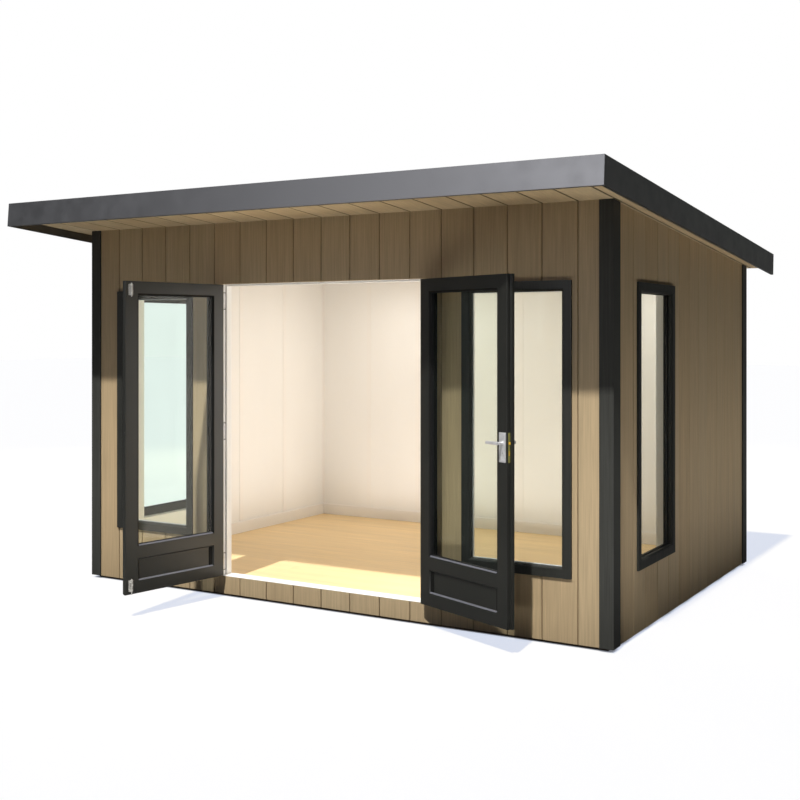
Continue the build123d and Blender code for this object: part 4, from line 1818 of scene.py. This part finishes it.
@dataclass
class BarrelBolts(Assembly):
    """The two barrel bolts on the inside of the left leaf, both drawn back."""

    screws: Screws
    leaf: Leaf
    edge_distance: float = 0.040
    end_distance: float = 0.019
    plate_width: float = 0.033
    plate_height: float = 0.072
    plate_thickness: float = 0.003
    plate_ease: float = 0.0005
    corner: float = 0.004
    screw_inset: float = 0.0055
    screw_rise: float = 0.008
    guide_radius: float = 0.007
    guide_length: float = 0.016
    guide_ease: float = 0.0006
    bore_reach: float = 0.001
    rod_radius: float = 0.004
    rod_clearance: float = 0.0003
    rod_ease: float = 0.0012
    tail: float = 0.008
    knob_radius: float = 0.004
    knob_length: float = 0.010
    knob_clear: float = 0.008
    knob_ease: float = 0.0015
    knob_facets: int = 3

    def guide(self, x: float, y: float, ends: Point) -> list[Piece]:
        """Makes one guide of a bolt: a bored collar and its foot.

        Args:
            x: x of the bolt's middle line.
            y: y of the bolt's middle line.
            ends: its lower and upper height.

        Returns:
            Collar and foot.
        """
        low, high = ends
        foot_low = (x - self.guide_radius, self.leaf.back + TINY, low)
        parts = [
            rod("guide", (x, y, low), (x, y, high), self.guide_radius),
            block("foot", foot_low, (x + self.guide_radius, y, high)),
        ]
        for part in parts:
            bore = rod(
                "cutter", (x, y, low - self.bore_reach), (x, y, high + self.bore_reach),
                self.rod_radius + self.rod_clearance,
            )
            carve(part, bore)
            ease(part, self.guide_ease)
        return parts

    def bolt(self, plate_end: float, rod_end: float, way: int) -> tuple[Piece, Piece]:
        """Makes one bolt with the leaf shut.

        Args:
            plate_end: height of the end of the plate nearest the frame.
            rod_end: height of the end of the rod.
            way: 1 where it shoots up, -1 where it shoots down.

        Returns:
            The plate with its guides and screws, and the rod with its knob.
        """
        leaf = self.leaf
        x = leaf.meeting + leaf.rebate - self.edge_distance
        face = leaf.back + self.plate_thickness
        y = face + self.guide_radius
        far = plate_end - way * self.plate_height
        z0, z1 = sorted((plate_end, far))
        half = self.plate_width / 2
        plate = block("plate", (x - half, leaf.back, z0), (x + half, face, z1))
        bevel(plate, self.corner, running(Y), CORNER_FACETS)
        parts = [ease(plate, self.plate_ease)]
        far_guide = far + way * self.guide_length
        parts += self.guide(x, y, sorted((plate_end, plate_end - way * self.guide_length)))
        parts += self.guide(x, y, sorted((far, far_guide)))
        away = half - self.screw_inset
        for screw_x in (x - away, x + away):
            for z in (z0 + self.screw_rise, z1 - self.screw_rise):
                parts.append(self.screws.drive((screw_x, face, z), (0, 1, 0)))
        tail = far - way * self.tail
        shank = rod("shank", (x, y, rod_end), (x, y, tail), self.rod_radius)
        ease(shank, self.rod_ease)
        knob_z = far_guide + way * (self.knob_radius + self.knob_clear)
        knob_end = y + self.rod_radius + self.knob_length
        knob = rod("knob", (x, y, knob_z), (x, knob_end, knob_z), self.knob_radius)
        ease(knob, self.knob_ease, self.knob_facets)
        return join("bolt_plate", *parts), join("bolt_rod", shank, knob)

    def build(self) -> None:
        """Builds both bolts, opens them with the leaf and files them."""
        leaf = self.leaf
        plates = []
        for name, way, plate_end, body in (
            ("top", 1, leaf.top - self.end_distance, Body.TOP_BOLT),
            ("bottom", -1, leaf.bottom + self.end_distance, Body.BOTTOM_BOLT),
        ):
            node = Box.around(f"{name}_bolt_rod")
            plate, slide = self.bolt(plate_end, node.high.z if way > 0 else node.low.z, way)
            plates.append(leaf.hang(plate))
            slide = named(leaf.hang(slide), f"{name}_bolt")
            self.file(slide, Coat.DULL_STEEL, Slot.METAL, f"{name}_bolt_rod", body=body)
        piece = join("bolt_plates", *plates)
        self.file(piece, Coat.DULL_STEEL, Slot.METAL, "left_door_bolt_plates", body=leaf.body)


@dataclass
class Lock(Assembly):
    """Backplates, levers and the brass faceplate of the right leaf."""

    screws: Screws
    leaf: Leaf
    plate_width: float = 0.054
    plate_height: float = 0.166
    plate_thickness: float = 0.005
    plate_rim: float = 0.0022
    rim_facets: int = 3
    above_spindle: float = 0.058
    corner: float = 0.004
    screw_inset: float = 0.012
    key_below: float = 0.056
    key_radius: float = 0.0045
    key_slot: float = 0.0042
    key_drop: float = 0.014
    stand_off: float = 0.038
    lever_length: float = 0.093
    lever_depth: float = 0.012
    lever_height: float = 0.020
    lever_tapers: tuple[Pair, ...] = ((0.0, 0.9), (0.25, 0.9), (0.5, 0.92), (0.75, 0.96))
    lever_ease: float = 0.0035
    lever_facets: int = 4
    lever_turn: float = 60.0
    neck: float = 0.008
    neck_gap: float = 0.0003
    rose: float = 0.0125
    rose_thickness: float = 0.004
    rose_ease: float = 0.0012
    rose_sides: int = 32
    spindle: float = 0.004
    face_height: float = 0.166
    face_width: float = 0.015
    face_thickness: float = 0.0015
    face_proud: float = 0.0006
    face_corner: float = 0.0055
    face_facets: int = 5
    face_ease: float = 0.0003
    face_screw: float = 0.010
    latch_throw: float = 0.008
    latch_width: float = 0.006
    latch_height: float = 0.014
    latch_slope: float = 0.0042
    latch_set_back: float = 0.0015
    latch_ease: float = 0.0006
    bolt_height: float = 0.026
    bolt_throw: float = 0.0015
    bolt_ease: float = 0.0005

    def backplate(self, y0: float, y1: float, way: int) -> Piece:
        """Makes one backplate.

        Args:
            y0: depth of its lower face.
            y1: depth of its higher face.
            way: -1 at the outside of the leaf, 1 at the inside.

        Returns:
            The plate with its keyhole and screws.
        """
        x, z = self.leaf.spindle_x, self.leaf.spindle_z
        top = z + self.above_spindle
        half = self.plate_width / 2
        plate = block("plate", (x - half, y0, top - self.plate_height), (x + half, y1, top))
        bevel(plate, self.corner, running(Y), CORNER_FACETS)
        face = y0 if way < 0 else y1
        front_rim: Test = lambda middle, along: abs(middle.y - face) < TINY
        bevel(plate, self.plate_rim, front_rim, self.rim_facets)
        key_z = z - self.key_below
        low_y, high_y = y0 - self.plate_thickness, y1 + self.plate_thickness
        slot = (x + self.key_slot / 2, high_y, key_z)
        for cutter in (
            rod("cutter", (x, low_y, key_z), (x, high_y, key_z), self.key_radius),
            block("cutter", (x - self.key_slot / 2, low_y, key_z - self.key_drop), slot),
            rod("cutter", (x, low_y, z), (x, high_y, z), self.spindle + self.neck_gap),
        ):
            carve(plate, cutter)
        smooth_shade(plate)
        heights = (top - self.screw_inset, top - self.plate_height + self.screw_inset)
        screws = [self.screws.drive((x, face, height), (0, way, 0)) for height in heights]
        return join("backplate", plate, *screws)

    def lever(self, plate_face: float, way: int) -> Piece:
        """Makes one lever: a neck, a rounded turn and a tapering arm.

        Args:
            plate_face: depth of the backplate's face.
            way: -1 at the outside of the leaf, 1 at the inside.

        Returns:
            The lever.
        """
        x, z = self.leaf.spindle_x, self.leaf.spindle_z
        arm_y = plate_face + way * self.stand_off
        start_y = plate_face + way * self.neck_gap
        rose_y = start_y + way * self.rose_thickness
        neck = rod("neck", (x, start_y, z), (x, arm_y, z), self.neck)
        rose = rod("rose", (x, start_y, z), (x, rose_y, z), self.rose, self.rose_sides)
        ease(rose, self.rose_ease)
        half_depth, half_height = self.lever_depth / 2, self.lever_height / 2
        tip = x - self.lever_length
        arm = block(
            "arm", (tip, arm_y - half_depth, z - half_height),
            (x + self.neck, arm_y + half_depth, z + half_height),
        )
        places = [(tip + part * self.lever_length, factor) for part, factor in self.lever_tapers]
        for at, _ in places[1:]:
            score(arm, X, at)
        for at, factor in places:
            ring: Test = lambda middle, along: abs(middle.x - at) < TINY
            with editing(arm, Pick.EDGES, ring):
                bpy.ops.transform.resize(value=(1, factor, factor), center_override=(at, arm_y, z))
        ease(arm, self.lever_ease, self.lever_facets, self.lever_turn)
        return join("lever", arm, neck, rose)

    def faceplate(self) -> tuple[Piece, Piece]:
        """Makes the brass plate in the meeting edge, with its latch and dead bolt.

        Returns:
            The plate with its screws, and the latch with the dead bolt.
        """
        leaf, z = self.leaf, self.leaf.spindle_z
        back_x = leaf.meeting - self.face_thickness
        front_y = leaf.back - leaf.tongue + self.latch_set_back
        back_y = front_y + self.latch_width
        middle = front_y + self.latch_width / 2
        top = z + self.above_spindle
        half = self.face_width / 2
        plate = block(
            "plate", (back_x, middle - half, top - self.face_height),
            (leaf.meeting + self.face_proud, middle + half, top),
        )
        bevel(plate, self.face_corner, running(X), self.face_facets)
        parts = [ease(plate, self.face_ease, 1)]
        half = self.latch_height / 2
        latch = block(
            "latch", (back_x, front_y, z - half),
            (leaf.meeting + self.latch_throw, back_y, z + half),
        )
        upright = running(Z)
        slope: Test = lambda point, along: (
            upright(point, along) and point.x > leaf.meeting and point.y > middle
        )
        bevel(latch, self.latch_slope, slope)
        ease(latch, self.latch_ease)
        low = z - self.key_below - self.bolt_height / 2
        bolt = block(
            "dead_bolt", (back_x, front_y, low),
            (leaf.meeting + self.bolt_throw, back_y, low + self.bolt_height),
        )
        ease(bolt, self.bolt_ease)
        for height in (top - self.face_screw, top - self.face_height + self.face_screw):
            at = (leaf.meeting + self.face_proud, middle, height)
            parts.append(self.screws.drive(at, (1, 0, 0)))
        return join("lock_faceplate_brass", *parts), join("lock_latch_brass", latch, bolt)

    def build(self) -> None:
        """Builds the lock's pieces, opens them with the leaf and files them."""
        leaf = self.leaf
        x, z = leaf.spindle_x, leaf.spindle_z
        plates, levers = [], []
        for face, way in ((leaf.front, -1), (leaf.back, 1)):
            plate_face = face + way * self.plate_thickness
            y0, y1 = sorted((face, plate_face))
            plates.append(self.backplate(y0, y1, way))
            levers.append(self.lever(plate_face, way))
        axle = rod(
            "axle", (x, leaf.front - self.stand_off, z), (x, leaf.back + self.stand_off, z),
            self.spindle, SMALL_ROD,
        )
        face, bolts = self.faceplate()
        pair = join("lever_pair", *levers, axle)
        backs = join("lock_backplates", *plates)
        for piece, coat, slot, nodes, body in (
            (pair, Coat.STEEL, Slot.METAL, ["lever_handles"], Body.LEVER),
            (backs, Coat.STEEL, Slot.METAL, ["right_door_backplates"], leaf.body),
            (face, Coat.BRASS, Slot.BRASS, ["lock_faceplate"], leaf.body),
            (bolts, Coat.GOLD, Slot.BRASS, [], leaf.body),
        ):
            self.file(leaf.hang(piece), coat, slot, *nodes, body=body)


@dataclass
class DoorFrame(Assembly):
    """White jambs, head and threshold round the doorway."""

    ease: float = 0.0012

    def build(self) -> None:
        """Eases the frame's pieces and files them."""
        for node, name in (
            ("door_jambs", "jambs"), ("door_frame_head", "frame_head"), ("threshold", "door_sill"),
        ):
            piece = ease(rework(node, name), self.ease)
            self.file(piece, Coat.FRAME, Slot.WHITE_FRAME, node)


@dataclass
class Interior(Assembly):
    """The white-lined room: cover strips, skirting and the plank floor."""

    roof: RoofPlane
    strip_width: float = 0.045
    strip_thickness: float = 0.003
    strip_ease: float = 0.0012
    back_spacing: float = 0.505
    side_spacing: float = 0.61
    skirting_ease: float = 0.003
    plank_width: float = 0.14
    plank_length: float = 1.25
    plank_ease: float = 0.0008
    plank_shifts: Triple = (0.0, 0.37, 0.71)

    def strips(self) -> None:
        """Covers the joints of the lining with thin upright strips."""
        skirting = Box.around("skirting_boards")
        oak = Box.around("oak_flooring")
        window = Box.around("side_window_frames")
        left, right, back = skirting.low.x, skirting.high.x, skirting.high.y
        thick, half = self.strip_thickness, self.strip_width / 2
        spots = []
        for number in range(1, int(oak.size.x // self.back_spacing) + 1):
            x = left + number * self.back_spacing
            spots.append((x - half, x + half, back - thick, back))
        for wall, way in ((left, 1), (right, -1)):
            side = sorted((wall, wall + way * thick))
            y = back - self.side_spacing
            while y > skirting.low.y + half:
                if not window.low.y - half < y < window.high.y + half:
                    spots.append((*side, y - half, y + half))
                y -= self.side_spacing
            spots.append((*sorted((wall, wall + way * half)), back - thick, back))
            spots.append((*side, back - half, back - thick))
        strips = [
            block("strip", (x0, y0, skirting.high.z), (x1, y1, FAR))
            for x0, x1, y0, y1 in spots
        ]
        piece = join("lining_strips", *strips)
        slice_off(piece, self.roof.start, self.roof.normal)
        ease(piece, self.strip_ease, 1)
        self.file(piece, Coat.STRIP, Slot.LINING)

    def floor(self) -> None:
        """Lays the oak planks, each row shifted against the last."""
        room = Box.around("skirting_boards")
        whole = Box.around("oak_flooring")
        doorway = Box.around("door_cladding")
        top, under = whole.high.z, whole.low.z
        length, width = self.plank_length, self.plank_width
        rows = math.ceil((room.high.y - whole.low.y) / width)
        kinds = len(self.plank_shifts)
        upper: Test = lambda middle, way: middle.z > top - TINY
        planks = []
        for first, shift in enumerate(self.plank_shifts):
            x, y = room.low.x - shift * length, whole.low.y + first * width
            plank = block("plank", (x, y, under), (x + length, y + width, top))
            bevel(plank, self.plank_ease, upper)
            repeat(plank, math.ceil((room.high.x - x) / length), (length, 0, 0))
            repeat(plank, math.ceil((rows - first) / kinds), (0, kinds * width, 0))
            planks.append(plank)
        piece = join("oak_planks", *planks)
        for corner, way in ((room.low, (-1, 0, 0)), (room.high, (1, 0, 0)), (room.high, (0, 1, 0))):
            slice_off(piece, corner, way)
        cutters = []
        for x0, x1 in ((-FAR, doorway.low.x), (doorway.high.x, FAR)):
            low = (x0, whole.low.y - BEYOND, under - BEYOND)
            cutters.append(block("cutter", low, (x1, room.low.y, top + BEYOND)))
        carve(piece, *cutters)
        self.file(piece, Coat.OAK, Slot.OAK, "oak_flooring")

    def skirting(self) -> None:
        """Rounds the skirting's top edges."""
        piece = ease(rework("skirting_boards", "skirting"), self.skirting_ease)
        self.file(piece, Coat.STRIP, Slot.LINING, "skirting_boards")

    def build(self) -> None:
        """Builds everything inside the room."""
        self.strips()
        self.floor()
        self.skirting()


@dataclass
class KeptPieces(Assembly):
    """Frame nodes whose shape is right as it is, and the finish that each one gets."""

    lined: tuple[str, ...] = (
        "front_wall_left", "front_wall_right", "front_wall_head",
        "left_wall", "right_wall", "back_wall", "ceiling",
    )

    def build(self) -> None:
        """Dresses the kept nodes."""
        for coat, nodes in (
            (Coat.JOIST, ("floor_joists",)), (Coat.DECK, ("floor_deck",)),
            (Coat.LINING, self.lined), (Coat.CORE, ("roof_panel",)),
        ):
            for node in nodes:
                piece = frame["nodes"][node]
                self.finishes.dress(piece, coat)
                self.filed.append(piece)


# ---- studio ----
@dataclass(frozen=True)
class Lamp:
    """A soft rectangular lamp that shines at a point, or that shows in gloss alone."""

    name: str
    at: Triple
    towards: Triple
    size: Pair
    power: float
    colour: Colour
    for_gloss: bool = False

    def make(self) -> None:
        """Adds the lamp to the scene."""
        light = bpy.data.lights.new(self.name, "AREA")
        light.shape = "RECTANGLE"
        light.size, light.size_y = self.size
        light.energy = self.power
        light.color = self.colour
        lamp = bpy.data.objects.new(self.name, light)
        bpy.context.collection.objects.link(lamp)
        lamp.location = self.at
        way = Vector(self.towards) - Vector(self.at)
        lamp.rotation_euler = way.to_track_quat("-Z", "Y").to_euler()
        lamp.visible_camera = False
        lamp.visible_diffuse = not self.for_gloss
        lamp.visible_glossy = self.for_gloss


@dataclass
class Studio:
    """Floor, light and camera round the pod."""

    floor_size: float = 120.0
    floor_drop: float = 0.0006
    sun_way: Triple = (-0.12, 1.0, -1.72)
    sun_strength: float = 3.88
    sun_angle: float = 1.6
    sun_tone: Colour = (1.0, 0.985, 0.955)
    fill: Colour = (0.035, 0.036, 0.036)
    gloss_sky: Colour = (0.10, 0.103, 0.095)
    gloss_overhead: Colour = (0.42, 0.44, 0.56)
    overhead: Pair = (0.45, 0.85)
    seen_sky: Colour = (1.0, 1.0, 1.0)
    shadow_white: Colour = (0.665, 0.715, 0.84)
    paper: Colour = (0.29, 0.25, 0.15)
    glow: Colour = (4.6, 4.5, 4.35)
    near_floor: Colour = (0.03, 0.03, 0.03)
    glossy_floor: Colour = (0.14, 0.14, 0.14)
    glow_start: Pair = (0.6, 0.92)
    glow_end: Pair = (1.0, 1.5)
    glow_side: Pair = (-2.6, 0.0)
    glow_left: float = 0.6
    # painted contact shade: an occlusion test darkens the floor's white within this reach of the
    # pod, down to this level
    contact_reach: float = 0.12
    contact: Pair = (0.15, 0.42)
    contact_shade_level: float = 0.2
    warm: Colour = (1.0, 0.97, 0.93)
    ceiling_gap: float = 0.08
    floor_gap: float = 0.05
    gloss_panels: tuple[Triple, ...] = (
        (0.5, 6.0, 600.0), (-4.75, 4.5, 175.0), (-8.75, 3.5, 34.0), (-12.25, 3.5, 4.0),
    )
    gloss_tone: Colour = (0.98, 0.98, 1.05)
    gloss_distance: float = -10.5
    gloss_height: float = 6.2
    gloss_tall: float = 9.0
    camera_at: Triple = (4.254, -7.596, 1.773)
    camera_turn: float = 30.651
    lens: float = 52.06
    lift: float = -0.0819
    clear_bounces: int = 32

    def glow_share(self, mix: Recipe) -> Socket:
        """Shares out the floor's glow, which lies in a band round the pod.

        Args:
            mix: the floor's recipe.

        Returns:
            How strongly each place glows.
        """
        place = mix.axes(mix.coords())
        wide = mix.math("SUBTRACT", mix.math("ABSOLUTE", place[X]), cad_high.x)
        deep = mix.math("SUBTRACT", mix.math("ABSOLUTE", place[Y]), cad_high.y)
        away = mix.math("MAXIMUM", wide, deep)
        rising = mix.ranged(away, self.glow_start, (0.0, 1.0))
        falling = mix.ranged(away, self.glow_end, (1.0, 0.0))
        sideways = mix.ranged(place[X], self.glow_side, (self.glow_left, 1.0))
        return mix.math("MULTIPLY", mix.math("MULTIPLY", rising, falling), sideways)

    def floor(self) -> None:
        """Lays a pale floor that shows white but keeps the pod's shadow, with painted contact shade
        darkening its white close round and under the pod.
        """
        bpy.ops.object.select_all(action="DESELECT")
        bpy.ops.mesh.primitive_plane_add(size=self.floor_size, location=(0, 0, -self.floor_drop))
        plane = settle(named(bpy.context.object, "studio_floor"))
        mix = Recipe.material("studio_floor_paper")

        def shader(kind: str, colour: Colour, **more: float | Socket) -> Node:
            """Adds a plain shader of one colour."""
            return mix.add(f"ShaderNode{kind}", {"Color": (*colour, 1.0), **more})

        def both(first: Node, second: Node) -> Node:
            """Adds one shader to another."""
            return mix.add("ShaderNodeAddShader", {0: first.outputs[0], 1: second.outputs[0]})

        path = mix.add("ShaderNodeLightPath").outputs
        bouncing = both(
            shader("Emission", self.glow, Strength=self.glow_share(mix)),
            shader("BsdfDiffuse", self.near_floor),
        )
        # painted contact shade on the floor's white, from an occlusion node
        near = mix.add("ShaderNodeAmbientOcclusion", {"Distance": self.contact_reach})
        painted_contact_shade = mix.ranged(near.outputs["AO"], self.contact, (self.contact_shade_level, 1.0))
        paper = both(
            shader("BsdfDiffuse", self.paper),
            shader("Emission", self.shadow_white, Strength=painted_contact_shade),
        )
        dim = shader("Emission", self.glossy_floor, Strength=1.0)
        unseen = mix.either(path["Is Glossy Ray"], bouncing, dim)
        seen = mix.math("MAXIMUM", path["Is Camera Ray"], path["Is Transmission Ray"])
        mix.close(mix.either(seen, unseen, paper))
        mix.owner.cycles.emission_sampling = "NONE"
        plane.data.materials.append(mix.owner)

    def sky(self) -> None:
        """Makes a plain world: white where it is seen, soft grey as light."""
        world = bpy.data.worlds.new("studio_world")
        bpy.context.scene.world = world
        mix = Recipe(world, "ShaderNodeOutputWorld")
        path = mix.add("ShaderNodeLightPath").outputs
        way = mix.add("ShaderNodeTexCoord").outputs["Generated"]
        rise = mix.ranged(mix.axes(way)["Z"], self.overhead)
        tint = mix.blended(rise, self.gloss_sky, self.gloss_overhead)
        fill, gloss, white = (
            mix.add("ShaderNodeBackground", {"Color": colour})
            for colour in ((*self.fill, 1.0), tint, (*self.seen_sky, 1.0))
        )
        unseen = mix.either(path["Is Glossy Ray"], fill, gloss)
        mix.close(mix.either(path["Is Camera Ray"], unseen, white))

    def sun(self) -> None:
        """Hangs the sun, high in front of the pod."""
        light = bpy.data.lights.new("sun", "SUN")
        light.energy = self.sun_strength
        light.angle = math.radians(self.sun_angle)
        light.color = self.sun_tone
        sun = bpy.data.objects.new("sun", light)
        bpy.context.collection.objects.link(sun)
        sun.rotation_euler = Vector(self.sun_way).to_track_quat("-Z", "Y").to_euler()

    def lamps(self) -> None:
        """Hangs the room's lamps, those at the doorway, the fill behind and the gloss panels."""
        ceiling = Box.around("ceiling").low.z
        under = ceiling - self.ceiling_gap
        over = Box.around("oak_flooring").high.z + self.floor_gap
        lamps = [
            Lamp(
                "room_lamp_left", at=(-0.65, 0.5, under), towards=(-0.65, 0.5, 0),
                size=(1.0, 0.8), power=7.9, colour=self.warm,
            ),
            Lamp(
                "room_lamp_right", at=(1.5, 0.75, under), towards=(1.5, 0.75, 0),
                size=(0.5, 0.6), power=4.5, colour=self.warm,
            ),
            Lamp(
                "room_up_lamp", at=(-0.2, 0.2, over), towards=(-0.2, 0.2, ceiling),
                size=(2.6, 1.8), power=21.5, colour=(1.0, 0.965, 0.93),
            ),
            Lamp(
                "doorway_lamp", at=(0.75, -1.0, 1.2), towards=(-0.85, -1.5, 1.2),
                size=(0.5, 1.7), power=9.5, colour=(1.0, 0.97, 0.95),
            ),
            Lamp(
                "doorway_gloss_panel", at=(0.9, -0.7, 1.0), towards=(-0.85, -1.5, 1.0),
                size=(0.9, 2.3), power=9.5, colour=(1.0, 0.96, 0.92), for_gloss=True,
            ),
            Lamp(
                "back_fill", at=(-5.5, 7.5, 3.6), towards=(0, 0, 1.1),
                size=(5.0, 3.5), power=300.0, colour=(0.97, 0.98, 1.0),
            ),
        ]
        for number, (x, width, power) in enumerate(self.gloss_panels):
            lamps.append(Lamp(
                f"gloss_panel_{number}", at=(x, self.gloss_distance, self.gloss_height),
                towards=(x, 0, self.gloss_height), size=(width, self.gloss_tall), power=power,
                colour=self.gloss_tone, for_gloss=True,
            ))
        for lamp in lamps:
            lamp.make()

    def camera(self) -> None:
        """Stands the camera in front and to the right, held level."""
        data = bpy.data.cameras.new("camera")
        data.lens = self.lens
        data.shift_y = self.lift
        data.clip_end = self.floor_size
        camera = bpy.data.objects.new("camera", data)
        bpy.context.collection.objects.link(camera)
        camera.location = self.camera_at
        camera.rotation_euler = (math.radians(90), 0, math.radians(self.camera_turn))
        bpy.context.scene.camera = camera

    def build(self) -> None:
        """Sets up floor, light, camera and the plain view transform."""
        self.floor()
        self.sky()
        self.sun()
        self.lamps()
        self.camera()
        scene = bpy.context.scene
        scene.view_settings.view_transform = "Standard"
        scene.cycles.transparent_max_bounces = self.clear_bounces


def main() -> None:
    """Builds the pod, files and reports every piece, and sets up the studio."""
    logging.basicConfig(level=logging.INFO, format="%(name)s: %(message)s")
    roof = RoofPlane.from_frame()
    boards = BoardRow()
    finishes = Finishes(boards.cover)
    finishes.mix_all()
    screws = Screws()
    left = Leaf(finishes, Hand.LEFT)
    right = Leaf(finishes, Hand.RIGHT)
    assemblies = (
        KeptPieces(finishes),
        Cladding(finishes, roof, boards),
        Roof(finishes, roof),
        Windows(finishes),
        DoorFrame(finishes),
        left,
        right,
        Hinges(finishes, screws, (left, right)),
        BarrelBolts(finishes, screws, left),
        Lock(finishes, screws, right),
        Interior(finishes, roof),
    )
    for assembly in assemblies:
        assembly.build()
        for piece in assembly.filed:
            kind, faces = type(assembly).__name__, len(piece.data.polygons)
            log.info("%s: %s, %d faces, %s", kind, piece.name, faces, piece.active_material.name)
    screws.put_away()
    Studio().build()


if __name__ == "__main__":
    main()
